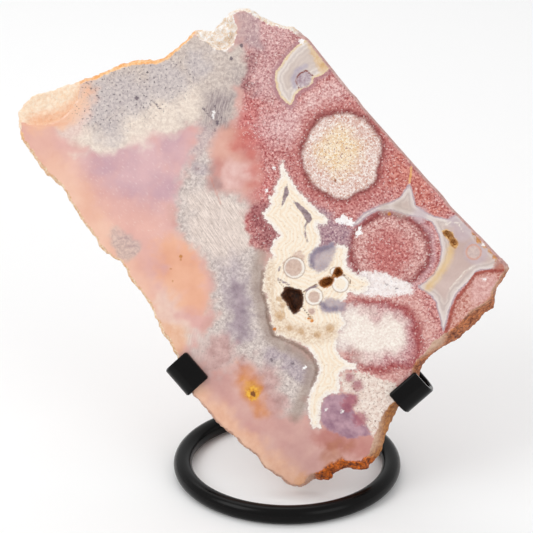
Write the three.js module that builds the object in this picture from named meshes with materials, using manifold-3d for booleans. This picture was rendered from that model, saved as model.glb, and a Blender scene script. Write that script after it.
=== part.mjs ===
// Pink amethyst slice on a black ring stand, in millimetres, +Z up, front towards -Y.
// The slice leans back on two flat straps whose ends fold round its lower edges.
import * as THREE from 'three';
import { mergeVertices } from 'three/addons/utils/BufferGeometryUtils.js';
import { ImprovedNoise } from 'three/addons/math/ImprovedNoise.js';
import Module from 'manifold-3d';

const wasm = await Module();
wasm.setup();

// Driving dimensions of the slice; EDGE_STEP is the spacing of the stations along its edge
const SLICE_THICKNESS = 10;
const LEAN_DEG = 20;
const TIP_HEIGHT = 6;
const TIP_FRONT_Y = -25;
const SLICE_SHIFT_X = -0.5;
const EDGE_STEP = 2.3;
const CHIP_SIZE = 3.2;
const CHIP_HEIGHT = 1.6;
const MEAN_OF_NOISE = 0.2;

// Driving dimensions of the stand
const RING_RADIUS = 45;
const ROD_RADIUS = 4;
const RING_FLAT = 0.25;
const RING_SHIFT_X = -5.7;
const STRAP_WIDTH = 14.5;
const STRAP_THICKNESS = 2.5;
const STRAP_BEND_RADIUS = 3.6;
const STRAP_EDGE_ROUND = 0.6;
const LIP_END_ROUND = 1.2;
const ARM_SLOPE_DEG = 45;
const APEX_UP_FACE = 91.6;
const ARM_REACH = 73.5;
const LEFT_LIP = 13;
const RIGHT_LIP = 11.2;
const UPRIGHT_MEETS_ARMS = 80;
const UPRIGHT_KNEE = 0.55;
const GAP = 0.3;

// Colours of the stone and of the stand's satin black coat
const STONE = new THREE.MeshStandardMaterial({ color: 0xd9aaa2, roughness: 0.18, metalness: 0 });
const BLACK_COAT = new THREE.MeshStandardMaterial({ color: 0x1b1b1c, roughness: 0.35, metalness: 0 });

// The stone's edge, clockwise from the left corner, on its front face: across, up from its bottom tip.
// Each stretch says how far the polished face stops short of the edge (bevel), how deep that bevel runs
// as a share of the thickness (drop), how far the back face stops short (back), and how rough it is.
const EDGE = [
  // Upper left rim
  {
    bevel: 1.3, drop: 0.16, back: 1.5, rough: 1.1,
    points: [[-126, 150], [-124.5, 153.5], [-120.5, 157.5], [-117, 159.2], [-112, 160.2], [-107, 162.6],
      [-101, 164.4], [-98, 166.4], [-93, 167.8], [-88, 170.6], [-82, 173.2], [-77, 175], [-66, 176],
      [-61, 179.5], [-57, 183.2], [-54, 186.5]],
  },
  // Broken notch
  {
    bevel: 0.8, drop: 0.2, back: 1, rough: 1.2,
    points: [[-52.5, 188.3], [-49.5, 189.4], [-45.5, 188.8], [-42, 191.5], [-40.5, 194.5], [-38, 197.3],
      [-34.5, 199]],
  },
  // Top rim
  {
    bevel: 1, drop: 0.14, back: 1, rough: 0.7,
    points: [[-31.5, 199.5], [-28, 198.8], [-24.5, 196.6], [-20, 194.6], [-15.5, 193.3], [-11, 193],
      [-8, 191], [-5, 188.8]],
  },
  // Sawn edge
  {
    bevel: 0.5, drop: 0.06, back: 1.1, rough: 0.12,
    points: [[-3.5, 188], [8, 175.3], [15.5, 167], [17.6, 165.4], [20.6, 161.6], [35, 147.2], [50, 132.2],
      [56, 126.8], [60, 122], [75, 108.6], [80, 103.8]],
  },
  // Right corner
  {
    bevel: 1.2, drop: 0.2, back: 1.2, rough: 0.5,
    points: [[84.9, 99.6], [85.8, 97.8], [83.6, 93.4], [81, 89], [80.4, 84.6]],
  },
  // Right rind
  {
    bevel: 4.6, drop: 0.55, back: 1, rough: 1.6,
    points: [[80, 80.6], [75.8, 77.6], [72, 72.4], [68.2, 68.2], [63.4, 65], [59.6, 62.6]],
  },
  // Lower right edge
  {
    bevel: 2.6, drop: 0.4, back: 1.2, rough: 0.5,
    points: [[56, 59.6], [53, 56.4], [51.4, 53], [50.4, 46.5], [46.4, 39.2], [42.6, 36.2]],
  },
  // Right bottom bevel
  {
    bevel: 3.9, drop: 0.6, back: 0.8, rough: 0.9,
    points: [[41.6, 32.6], [39.6, 27.4], [37.8, 21.4], [36.6, 15.8]],
  },
  // Bottom crust
  {
    bevel: 3.6, drop: 0.5, back: 1, rough: 1.3,
    points: [[33.6, 11.4], [30.4, 9], [27, 8.4], [23, 8.9], [18.6, 7], [16, 4.2], [13, 2.7], [9.4, 3.3]],
  },
  // Lower left edge
  {
    bevel: 1.2, drop: 0.18, back: 1.6, rough: 0.5,
    points: [[6.5, 0.6], [3.5, -0.7], [-1.2, 0.2], [-4.4, 3], [-9, 5.2], [-12.1, 6.8], [-15, 11.4],
      [-20, 14.2], [-25.4, 18.9], [-31.5, 22.9], [-37, 28.5], [-41.8, 33.6], [-46.8, 37.2], [-49.8, 44.4],
      [-51.8, 51.2]],
  },
  // Left rim
  {
    bevel: 1.5, drop: 0.2, back: 1.8, rough: 1.2,
    points: [[-55.2, 56], [-58.8, 60.7], [-62.3, 67], [-64.8, 72.5], [-69.8, 78.5], [-72.9, 81.1],
      [-75.9, 86.3], [-78.3, 89.8], [-81.6, 90.7], [-86.9, 94.4], [-90.9, 100.5], [-96.9, 107.1],
      [-100.9, 112.8], [-105.9, 119.9], [-111.9, 124.6], [-116.9, 130], [-120.9, 134.7], [-124.4, 139.3],
      [-125.6, 145.2]],
  },
];

// The shallow polished dish that thins the left corner
const CORNER_DISH = { at: [-117.5, 164], radius: 19.5, depth: 3.4 };

// The broken notch at the top and the open vugs: outline on the face, depth, and how much the floor narrows
const HOLLOWS = [
  // Broken notch
  {
    depth: 4.5, narrowing: 0.22,
    outline: [[-56, 198], [-50.5, 187.6], [-48, 185.4], [-45, 183], [-41.5, 181.6], [-37.5, 181.8],
      [-34.4, 184], [-33.2, 187.4], [-33.6, 191.4], [-35.2, 195.2], [-36, 206]],
  },
  // Dark vug
  {
    depth: 6, narrowing: 0.4,
    outline: [[-8, 82.6], [-6.6, 84.4], [-3.4, 83.6], [0.2, 83.4], [0.6, 78], [1.2, 76], [-1, 74.4],
      [-2.4, 72.8], [-4, 74.6], [-5.4, 78], [-8, 79.6]],
  },
  // Branching vug
  {
    depth: 4.5, narrowing: 0.35,
    outline: [[6.6, 88], [9.6, 88.4], [13, 90], [14.2, 93.6], [15.4, 95.2], [16.6, 93], [18.2, 91.4],
      [13.4, 89.2], [12.4, 86], [9, 85], [6.8, 86.4]],
  },
  // Lens vug
  {
    depth: 4, narrowing: 0.35,
    outline: [[57, 113.8], [59.2, 112.8], [61.4, 111], [63, 108.6], [64.6, 106.8], [63.6, 104.8],
      [61.4, 106.4], [60.4, 109], [58.2, 110.4]],
  },
  // Orange pit
  {
    depth: 2.5, narrowing: 0.5,
    outline: [[-19.4, 39.2], [-18, 39.4], [-17.4, 38.2], [-18.2, 37], [-19.4, 37.4]],
  },
];

// Round lumps of the iron crust at the bottom: place and half sizes
const CRUST_LUMPS = [
  { at: [19.4, 10.4, -3], size: [3, 2.6, 2.6] },
  { at: [28.4, 10.6, -3.8], size: [4.4, 1.8, 2.4] },
  { at: [14.6, 5, -4.2], size: [3, 1.8, 2.2] },
];

// Blunt quartz crystals on the floor of the notch: place, half sizes and turn
const NOTCH_CRYSTALS = [
  { at: [-36.4, 190.4, -4.2], size: [1.6, 2.8, 2.4], turnDeg: 20 },
  { at: [-38.6, 187, -4.4], size: [2.6, 1.6, 2], turnDeg: 50 },
  { at: [-42, 185.6, -4.6], size: [2.6, 1.8, 1.8], turnDeg: -15 },
  { at: [-45.6, 186.4, -4.4], size: [1.8, 1.6, 1.9], turnDeg: 35 },
  { at: [-48.4, 187.6, -4.4], size: [1.4, 1.6, 2.6], turnDeg: 0 },
  { at: [-40.2, 190.2, -4.6], size: [2, 1.6, 1.4], turnDeg: -40 },
  { at: [-36.8, 194.4, -4.2], size: [1.5, 1.9, 2.6], turnDeg: 10 },
];

const noise = new ImprovedNoise();

// A closed mesh as a solid that can be cut and joined
function solidOf(geometry) {
  const bare = geometry.clone();
  bare.deleteAttribute('normal');
  bare.deleteAttribute('uv');
  const merged = mergeVertices(bare);
  const vertProperties = new Float32Array(merged.attributes.position.array);
  const triVerts = new Uint32Array(merged.index.array);
  return new wasm.Manifold(new wasm.Mesh({ numProp: 3, vertProperties, triVerts }));
}

function meshOf(name, solid, material) {
  const { vertProperties, triVerts } = solid.getMesh();
  const geometry = new THREE.BufferGeometry();
  geometry.setAttribute('position', new THREE.BufferAttribute(new Float32Array(vertProperties), 3));
  geometry.setIndex(new THREE.BufferAttribute(new Uint32Array(triVerts), 1));
  geometry.computeVertexNormals();
  const mesh = new THREE.Mesh(geometry, material);
  mesh.name = name;
  return mesh;
}

function shapeOf(points) {
  return new THREE.Shape(points.map(([x, y]) => new THREE.Vector2(x, y)));
}

// The edge as evenly spaced stations, each with the bevel, drop, back and roughness where it stands
function edgeStations() {
  const corners = EDGE.flatMap((stretch) => stretch.points.map(([x, y]) => ({ ...stretch, x, y })));
  return corners.flatMap((corner, i) => {
    const next = corners[(i + 1) % corners.length];
    const count = Math.max(1, Math.round(Math.hypot(next.x - corner.x, next.y - corner.y) / EDGE_STEP));
    const between = (share) => Object.fromEntries(
      ['x', 'y', 'bevel', 'drop', 'back', 'rough']
        .map((key) => [key, THREE.MathUtils.lerp(corner[key], next[key], share)]),
    );
    return Array.from({ length: count }, (_, k) => between(k / count));
  });
}

// The point a given distance inside a station, square to the run of the edge there, at a height.
// The run is taken over a few stations on both sides, so a sharp corner doesn't fold over itself.
function inside(stations, i, distance, height) {
  const reach = 3;
  const before = stations.at(i - reach);
  const after = stations[(i + reach) % stations.length];
  const length = Math.hypot(after.x - before.x, after.y - before.y);
  const x = stations[i].x + (distance * (after.y - before.y)) / length;
  const y = stations[i].y - (distance * (after.x - before.x)) / length;
  return new THREE.Vector3(x, y, height);
}

// Outlines from the front to the back, of equal numbers of points clockwise, joined and closed at both ends
function stackedOutlines(outlines) {
  const count = outlines[0].length;
  const lid = (outline) => THREE.ShapeUtils.triangulateShape(outline, []).map(([a, b, c]) => {
    const turnsLeft = THREE.ShapeUtils.area([outline[a], outline[b], outline[c]]) > 0;
    return turnsLeft ? [a, b, c] : [a, c, b];
  });
  const last = (outlines.length - 1) * count;
  const backLid = lid(outlines.at(-1)).map(([a, b, c]) => [last + a, last + c, last + b]);
  const faces = [...lid(outlines[0]), ...backLid];
  for (let k = 0; k < last; k += count) {
    for (let i = 0; i < count; i += 1) {
      const next = (i + 1) % count;
      faces.push([k + i, k + next, k + count + i], [k + next, k + count + next, k + count + i]);
    }
  }
  const geometry = new THREE.BufferGeometry();
  geometry.setFromPoints(outlines.flat());
  geometry.setIndex(faces.flat());
  return geometry;
}

// The bare slice, its front face at z = 0: the edge at six depths, each pulled in and chipped. The first
// three run down the front bevel, the fourth is the widest, and the last two round the back off.
function roughSlice() {
  const stations = edgeStations();
  const unlikeness = 1.7;
  const layers = [
    { depth: () => 0, inset: (s) => s.bevel },
    { depth: (s) => s.drop * 0.45, inset: (s) => s.bevel * 0.6 },
    { depth: (s) => s.drop, inset: (s) => s.bevel * 0.15 },
    { depth: (s) => (1 + s.drop) / 2, inset: () => 0 },
    { depth: () => 0.88, inset: (s) => s.back * 0.3 },
    { depth: () => 1, inset: (s) => s.back },
  ];
  const outlines = layers.map(({ depth, inset }, k) => stations.map((s, i) => {
    const wave = Math.abs(noise.noise(s.x / CHIP_SIZE, s.y / CHIP_SIZE, k * unlikeness));
    const chip = CHIP_HEIGHT * s.rough * (wave - MEAN_OF_NOISE);
    return inside(stations, i, inset(s) + chip, -depth(s) * SLICE_THICKNESS);
  }));
  return solidOf(stackedOutlines(outlines));
}

// Cuts a hollow: its outline on the face, with walls that narrow unevenly to the floor
function hollowCutter({ outline, depth, narrowing }) {
  const above = 1;
  const wallLump = 1.7;
  const geometry = new THREE.ExtrudeGeometry(shapeOf(outline), {
    depth: depth + above, steps: 2, bevelEnabled: false,
  });
  geometry.translate(0, 0, -depth);
  const centre = new THREE.Vector2();
  outline.forEach(([x, y]) => centre.add(new THREE.Vector2(x, y).divideScalar(outline.length)));
  const position = geometry.attributes.position;
  for (let v = 0; v < position.count; v += 1) {
    const x = position.getX(v);
    const y = position.getY(v);
    const share = Math.max(0, -position.getZ(v) / depth);
    const keep = 1 - share * (narrowing + 0.5 * noise.noise(x / wallLump, y / wallLump, share));
    position.setX(v, centre.x + (x - centre.x) * keep);
    position.setY(v, centre.y + (y - centre.y) * keep);
  }
  return solidOf(geometry);
}

// A ball that cuts a dish of that radius and depth in the face
function dishCutter({ at, radius, depth }) {
  const ballRadius = (radius * radius + depth * depth) / (2 * depth);
  const geometry = new THREE.SphereGeometry(ballRadius, 40, 48);
  geometry.rotateX(Math.PI / 2);
  geometry.translate(at[0], at[1], ballRadius - depth);
  return solidOf(geometry);
}

function lumpSolid({ at, size }) {
  const geometry = new THREE.IcosahedronGeometry(1, 1);
  geometry.scale(...size);
  geometry.translate(...at);
  return solidOf(geometry);
}

function crystalSolid({ at, size, turnDeg }) {
  const geometry = new THREE.DodecahedronGeometry(1, 0);
  geometry.scale(...size);
  geometry.rotateZ(THREE.MathUtils.degToRad(turnDeg));
  geometry.translate(...at);
  return solidOf(geometry);
}

// Side view of a strap: x runs along the arm from where the arms meet, y is height above the slice's front
// face. It passes behind the slice, folds round the edge and ends as a lip on the front.
function strapProfile(lipLength, grow = 0) {
  const front = GAP - grow;
  const behind = -(SLICE_THICKNESS + GAP) + grow;
  const innerBend = STRAP_BEND_RADIUS - grow;
  const outerBend = STRAP_BEND_RADIUS + STRAP_THICKNESS + grow;
  const bendCentre = ARM_REACH - STRAP_BEND_RADIUS - STRAP_THICKNESS;
  const lipEnd = ARM_REACH - lipLength;
  const round = LIP_END_ROUND;
  const top = front + STRAP_THICKNESS + 2 * grow;
  const bottom = behind - STRAP_THICKNESS - 2 * grow;
  const quarter = Math.PI / 2;
  const shape = new THREE.Shape();
  shape.moveTo(-STRAP_WIDTH, behind);
  shape.lineTo(-STRAP_WIDTH, bottom);
  shape.lineTo(bendCentre, bottom);
  shape.absarc(bendCentre, behind + innerBend, outerBend, -quarter, 0, false);
  shape.absarc(bendCentre, front - innerBend, outerBend, 0, quarter, false);
  shape.lineTo(lipEnd + round, top);
  shape.absarc(lipEnd + round, top - round, round, quarter, 2 * quarter, false);
  shape.lineTo(lipEnd, front);
  shape.lineTo(bendCentre, front);
  shape.absarc(bendCentre, front - innerBend, innerBend, quarter, 0, true);
  shape.absarc(bendCentre, behind + innerBend, innerBend, 0, -quarter, true);
  return shape;
}

// A strap in the slice's own frame, cut on the middle line where the arms meet; side is -1 left, 1 right
function strapSolid(side, lipLength, grow = 0) {
  const round = STRAP_EDGE_ROUND;
  const width = STRAP_WIDTH + 2 * grow;
  const geometry = new THREE.ExtrudeGeometry(strapProfile(lipLength, grow), {
    depth: width - 2 * round, curveSegments: 5, bevelSegments: 1,
    bevelThickness: round, bevelSize: round, bevelOffset: -round,
  });
  geometry.translate(0, 0, round - width / 2);
  const slope = THREE.MathUtils.degToRad(ARM_SLOPE_DEG);
  const along = new THREE.Vector3(side * Math.cos(slope), -Math.sin(slope), 0);
  const outward = new THREE.Vector3(0, 0, 1);
  const across = new THREE.Vector3().crossVectors(along, outward);
  geometry.applyMatrix4(new THREE.Matrix4().makeBasis(along, outward, across));
  geometry.translate(0, APEX_UP_FACE, 0);
  const beyond = 4 * ARM_REACH;
  const half = new THREE.BoxGeometry(beyond, 2 * beyond, beyond);
  half.translate(side * (beyond + GAP) / 2, 0, 0);
  return solidOf(geometry).intersect(solidOf(half));
}

// The ring's round rod with the narrow flat it stands on; grow makes the cutter that clears it
function ringSolid(grow = 0) {
  const radius = ROD_RADIUS + grow;
  const flatAngle = Math.acos((ROD_RADIUS - RING_FLAT) / ROD_RADIUS);
  const sides = 11;
  const turns = 56;
  const profile = Array.from({ length: sides + 1 }, (_, i) => {
    const angle = flatAngle - Math.PI / 2 + (i / sides) * 2 * (Math.PI - flatAngle);
    return new THREE.Vector2(RING_RADIUS + radius * Math.cos(angle), radius * Math.sin(angle));
  });
  const geometry = new THREE.LatheGeometry([...profile, profile[0]], turns);
  geometry.rotateX(Math.PI / 2);
  geometry.translate(RING_SHIFT_X, 0, ROD_RADIUS - RING_FLAT);
  return solidOf(geometry);
}

// The rod that rises from the back of the ring and bends forward to the backs of the arms
function uprightSolid(sliceMatrix) {
  const footY = Math.sqrt(RING_RADIUS ** 2 - RING_SHIFT_X ** 2);
  const backOfArms = -(SLICE_THICKNESS + GAP + STRAP_THICKNESS);
  const meeting = new THREE.Vector3(0, UPRIGHT_MEETS_ARMS, backOfArms).applyMatrix4(sliceMatrix);
  const foot = new THREE.Vector3(0, footY, ROD_RADIUS);
  const knee = new THREE.Vector3(0, footY, meeting.z * UPRIGHT_KNEE);
  const past = meeting.clone().add(meeting.clone().sub(knee).setLength(ROD_RADIUS * 2));
  const path = new THREE.QuadraticBezierCurve3(foot, knee, past);
  const section = new THREE.Shape().absarc(0, 0, ROD_RADIUS, 0, 2 * Math.PI);
  const rod = new THREE.ExtrudeGeometry(section, { steps: 14, curveSegments: 7, extrudePath: path });
  const room = 8 * STRAP_WIDTH;
  const armSpace = new THREE.BoxGeometry(room, room, room);
  armSpace.translate(0, UPRIGHT_MEETS_ARMS, backOfArms - GAP + room / 2);
  armSpace.applyMatrix4(sliceMatrix);
  return solidOf(rod).subtract(solidOf(armSpace)).subtract(ringSolid(GAP));
}

function stoneSolid() {
  const cuts = [dishCutter(CORNER_DISH), ...HOLLOWS.map(hollowCutter)];
  const stone = cuts.reduce((solid, cut) => solid.subtract(cut), roughSlice());
  const grown = [...CRUST_LUMPS.map(lumpSolid), ...NOTCH_CRYSTALS.map(crystalSolid)];
  return grown.reduce((solid, growth) => solid.add(growth), stone);
}

const sliceFrame = new THREE.Group();
sliceFrame.position.set(0, TIP_FRONT_Y, TIP_HEIGHT);
sliceFrame.rotation.x = THREE.MathUtils.degToRad(90 - LEAN_DEG);
sliceFrame.updateMatrix();

const hookSpace = [strapSolid(-1, LEFT_LIP, GAP), strapSolid(1, RIGHT_LIP, GAP)];
const stone = hookSpace.reduce(
  (solid, hook) => solid.subtract(hook.translate(-SLICE_SHIFT_X, 0, 0)),
  stoneSolid(),
);
const slab = meshOf('slab', stone, STONE);
slab.position.x = SLICE_SHIFT_X;
sliceFrame.add(
  slab,
  meshOf('left_arm', strapSolid(-1, LEFT_LIP), BLACK_COAT.clone()),
  meshOf('right_arm', strapSolid(1, RIGHT_LIP), BLACK_COAT.clone()),
);

const object = new THREE.Group();
object.add(
  sliceFrame,
  meshOf('base_ring', ringSolid(), BLACK_COAT.clone()),
  meshOf('upright', uprightSolid(sliceFrame.matrix), BLACK_COAT.clone()),
);

// The origin is on the table under the middle of the whole object
const bounds = new THREE.Box3().setFromObject(object, true);
const middle = bounds.getCenter(new THREE.Vector3());
object.position.set(-middle.x, -middle.y, -bounds.min.z);

export default object;
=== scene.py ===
# %% [markdown]
# Pink amethyst slice on a black ring stand.
# The solids of the stone and the stand come from the frame, in metres, +Z up, with the polished face
# towards -Y. This notebook makes a finer mesh of the stone, lays its minerals on by rule, gives the
# stand its coat, and sets a table, soft light and a camera.

# %% Load the frame
import math
import bmesh
import bpy
import numpy as np
from mathutils import Matrix, Vector, kdtree, noise


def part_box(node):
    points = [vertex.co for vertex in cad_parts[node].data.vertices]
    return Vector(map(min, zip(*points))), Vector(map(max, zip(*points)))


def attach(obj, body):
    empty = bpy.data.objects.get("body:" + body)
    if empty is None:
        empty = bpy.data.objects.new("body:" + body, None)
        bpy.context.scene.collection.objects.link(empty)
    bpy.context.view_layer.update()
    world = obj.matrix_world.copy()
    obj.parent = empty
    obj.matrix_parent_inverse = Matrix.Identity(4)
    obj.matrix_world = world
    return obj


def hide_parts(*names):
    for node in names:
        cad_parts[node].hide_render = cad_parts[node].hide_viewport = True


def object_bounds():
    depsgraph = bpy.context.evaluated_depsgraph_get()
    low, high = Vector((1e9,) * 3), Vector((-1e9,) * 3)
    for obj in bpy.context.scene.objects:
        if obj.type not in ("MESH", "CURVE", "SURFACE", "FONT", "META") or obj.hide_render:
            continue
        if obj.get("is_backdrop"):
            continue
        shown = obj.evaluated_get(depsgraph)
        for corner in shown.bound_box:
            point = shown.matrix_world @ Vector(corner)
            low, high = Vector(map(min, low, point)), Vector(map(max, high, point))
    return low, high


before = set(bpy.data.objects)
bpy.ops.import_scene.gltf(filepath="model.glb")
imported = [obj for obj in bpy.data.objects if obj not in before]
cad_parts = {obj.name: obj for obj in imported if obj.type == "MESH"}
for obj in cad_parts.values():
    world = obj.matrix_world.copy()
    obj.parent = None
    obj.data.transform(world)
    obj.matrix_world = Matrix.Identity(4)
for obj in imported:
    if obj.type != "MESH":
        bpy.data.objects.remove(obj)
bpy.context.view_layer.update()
MM = 0.001
print("solids:", sorted(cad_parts))

# %% [markdown]
# A slice like this is sawn flat and polished on one side, so everything that the eye reads lies on that
# face. It could be drawn in the axes of the room, but the face leans. Here it gets axes of its own:
# millimetres across, millimetres up from the bottom tip, and depth behind the polish. Only the lean and
# the tip's height are given. The rest is measured on the solids, so a change there carries over.

# %% The face of the stone as a set of axes
LEAN = math.radians(20)
ZERO_HEIGHT = 6 * MM
MIDDLE_OF_STAND = 0.5 * MM
across = Vector((1, 0, 0))
up_face = Vector((0, math.sin(LEAN), math.cos(LEAN)))
outward = Vector((0, -math.cos(LEAN), math.sin(LEAN)))
slab_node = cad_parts["slab"]
face_level = max(v.co.dot(outward) for v in slab_node.data.vertices)
stand_low, stand_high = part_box("upright")
zero_x = (stand_low.x + stand_high.x) / 2 - MIDDLE_OF_STAND
zero_y = (ZERO_HEIGHT * math.sin(LEAN) - face_level) / math.cos(LEAN)
zero = Vector((zero_x, zero_y, ZERO_HEIGHT))
from_face = Matrix.Translation(zero) @ Matrix((across, up_face, outward)).transposed().to_4x4()
to_face = from_face.inverted()
print("face zero at", tuple(round(c / MM, 2) for c in zero), "mm")

# %% [markdown]
# The solid has the stone's outline, bevels, notch and vugs, but its triangles are long and thin. They
# could be cut up one by one. A voxel remesh in the face's own axes is simpler, and gives even faces
# that can carry both relief and fine markings. The polish stays exactly flat, because each point that
# lies on it is set back to the face's level.

# %% An even mesh of the stone
VOXEL = 0.8 * MM
SAME_POINT = 0.001 * MM

def new_object(name, data):
    thing = bpy.data.objects.new(name, data)
    bpy.context.scene.collection.objects.link(thing)
    return thing

def object_from(bm, name):
    mesh = bpy.data.meshes.new(name)
    bm.to_mesh(mesh)
    bm.free()
    return new_object(name, mesh)

def even_copy(node, name):
    bm = bmesh.new()
    bm.from_mesh(node.data)
    bmesh.ops.remove_doubles(bm, verts=bm.verts, dist=SAME_POINT)
    bmesh.ops.transform(bm, matrix=to_face, verts=bm.verts)
    piece = object_from(bm, name)
    remesh = piece.modifiers.new("even faces", "REMESH")
    remesh.mode = "VOXEL"
    remesh.voxel_size = VOXEL
    bpy.context.view_layer.update()
    evaluated = piece.evaluated_get(bpy.context.evaluated_depsgraph_get())
    piece.data = bpy.data.meshes.new_from_object(evaluated)
    piece.modifiers.clear()
    return piece

stone = even_copy(slab_node, "amethyst_slice")
print("even mesh:", len(stone.data.polygons), "faces")

# %% [markdown]
# Later steps work on all points at once, as rows of numbers, which is much faster than one point at a
# time. A point belongs to the polish when it lies at the face's level, within a small reach, because
# the voxels don't meet that level exactly.

# %% Points of the stone in face millimetres
def points_mm(mesh):
    flat = np.empty(len(mesh.vertices) * 3)
    mesh.vertices.foreach_get("co", flat)
    return flat.reshape(-1, 3) / MM

def normals(mesh):
    flat = np.empty(len(mesh.vertices) * 3)
    mesh.vertices.foreach_get("normal", flat)
    return flat.reshape(-1, 3)

at = points_mm(stone.data)
facing = normals(stone.data)
thickness = -at[:, 2].min()
LEVEL_REACH = 0.3
on_polish = np.abs(at[:, 2]) < LEVEL_REACH
at[on_polish, 2] = 0
print("thickness", round(thickness, 2), "mm,", int(on_polish.sum()), "points on the polish")

# %% [markdown]
# The rim is natural rind, rough at every scale from a centimetre down. It could be sculpted, or shown
# by bump alone, but its outline has to be rough too. Fractal noise moves the points of the rim along
# their normals, and leaves the polish, the sawn upper right edge and the flat back alone.

# %% Roughen the rim
# in millimetres on the face, except how the noise is layered
SAWN_FROM, SAWN_TO = np.array([-3.5, 188.0]), np.array([80.0, 103.8])
SAWN_REACH = 3
LUMP_SIZE = 1.8
LUMP_HEIGHT = 0.55
HIGHEST_LUMP = 0.35
BELOW_POLISH = 0.05
LUMP_FALLOFF, LUMP_STEP, LUMP_LAYERS = 0.9, 2.1, 4

def distance_to_segment(points, a, b):
    run = b - a
    share = np.clip(((points - a) @ run) / (run @ run), 0, 1)
    return np.linalg.norm(points - a - share[:, None] * run, axis=1)

flat_back = at[:, 2] < -thickness + LEVEL_REACH
sawn = distance_to_segment(at[:, :2], SAWN_FROM, SAWN_TO) < SAWN_REACH
rough = ~on_polish & ~flat_back & ~sawn
for i in np.flatnonzero(rough):
    lump = noise.fractal(Vector(at[i]) / LUMP_SIZE, LUMP_FALLOFF, LUMP_STEP, LUMP_LAYERS)
    at[i] += facing[i] * min(lump * LUMP_HEIGHT, HIGHEST_LUMP)
at[~on_polish, 2] = np.minimum(at[~on_polish, 2], -BELOW_POLISH)
stone.data.vertices.foreach_set("co", (at * MM).ravel())
stone.data.update()
print(int(rough.sum()), "points roughened")

# %% [markdown]
# Each mineral has its place on the face. It could be a piece of mesh or a painted map, but the stone is
# one body, so a place is drawn as outlines, discs or strokes in millimetres, and turned into a smooth
# distance, positive inside. The material later breaks that edge up with noise, so a coarse outline
# gives a fine, natural border.

# %% Outlines, discs and strokes as distances
NEARLY_ZERO = 1e-9
OVAL_POINTS = 47
FARTHEST = 30
PLACES = {}

def inside_outline(points, outline):
    corners = np.array(outline, float)
    inside = np.zeros(len(points), bool)
    nearest = np.full(len(points), np.inf)
    for a, b in zip(corners, np.roll(corners, -1, axis=0)):
        nearest = np.minimum(nearest, distance_to_segment(points, a, b))
        crosses = (a[1] > points[:, 1]) != (b[1] > points[:, 1])
        rise = b[1] - a[1] if b[1] != a[1] else NEARLY_ZERO
        inside ^= crosses & (points[:, 0] < (b[0] - a[0]) * (points[:, 1] - a[1]) / rise + a[0])
    return np.where(inside, nearest, -nearest)

def inside_disc(points, disc):
    x, y, radius = disc
    return radius - np.hypot(points[:, 0] - x, points[:, 1] - y)

def inside_stroke(points, stroke, half_width):
    corners = np.array(stroke, float)
    gaps = [distance_to_segment(points, a, b) for a, b in zip(corners, corners[1:])]
    return half_width - np.minimum.reduce(gaps)

def place(name, outlines=(), discs=(), strokes=(), half_width=0.5):
    on_face = at[:, :2]
    parts = [inside_outline(on_face, outline) for outline in outlines]
    parts += [inside_disc(on_face, disc) for disc in discs]
    parts += [inside_stroke(on_face, stroke, half_width) for stroke in strokes]
    PLACES[name] = np.clip(np.maximum.reduce(parts), -FARTHEST, FARTHEST)

def oval(x, y, half_width, half_height):
    turns = np.linspace(0, 2 * math.pi, OVAL_POINTS, endpoint=False)
    return [(x + half_width * math.cos(turn), y + half_height * math.sin(turn)) for turn in turns]

print("distances are kept up to", FARTHEST, "mm either side of a border")

# %% [markdown]
# The minerals grew one after another. On the left is clear chalcedony, the waxy kind of quartz, tinted
# pink by traces of iron and lavender where it is amethyst. Its tints run into each other, so its places
# are a few wide outlines and discs, which get soft borders later.

# %% Chalcedony on the left
place("chalcedony", outlines=[[(-140, 175), (-98, 165), (-100, 139), (-73, 144), (-60, 146.5),
    (-48, 152), (-44, 143), (-50, 134), (-54, 124), (-56, 112), (-54, 106), (-45, 98), (-38, 85),
    (-37, 70), (-42, 56), (-60, 40), (-140, 90)]])
place("lavender_haze", discs=[(-86, 132, 8), (-72, 131, 14), (-58, 139, 9), (-60, 122, 8)])
place("left_peach", strokes=[[(-126, 142), (-112, 128), (-100, 116), (-88, 98), (-70, 78), (-56, 60)]],
    half_width=8)
place("flecks", outlines=[[(-98, 142), (-56, 145), (-52, 112), (-62, 100), (-84, 104), (-96, 124)]])
place("salmon_haze", outlines=[[(-96, 120), (-75, 113), (-62, 108), (-62, 92), (-72, 80), (-100, 95)]])
place("left_corner", outlines=[[(-135, 172), (-103, 150), (-108, 138), (-118, 128), (-140, 130)]])
place("orange_glow", discs=[(-50, 86, 10), (-46, 78, 7), (-56, 95, 7), (-51, 96, 6)])
place("whitish_cloud", discs=[(-56, 75, 6), (-55, 67, 6), (-50, 63, 5)])
place("left_wedge", outlines=[[(-62, 66), (-52, 65), (-46, 62), (-48, 57), (-50, 52.5), (-60, 50)]])
place("left_moss_spot", discs=[(-75, 97, 5), (-79, 99, 4)])
place("dish_glow", strokes=[[(-118, 146.5), (-106, 149.5), (-99, 155), (-95.5, 162)]], half_width=3.4)
print("in the chalcedony:", len(PLACES))

# %% [markdown]
# Along the top, fine mineral threads grew into the quartz like moss, grey and cream with dark specks.
# One outline gives the body, and discs the bluish, creamy and speckled parts of it.

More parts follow.
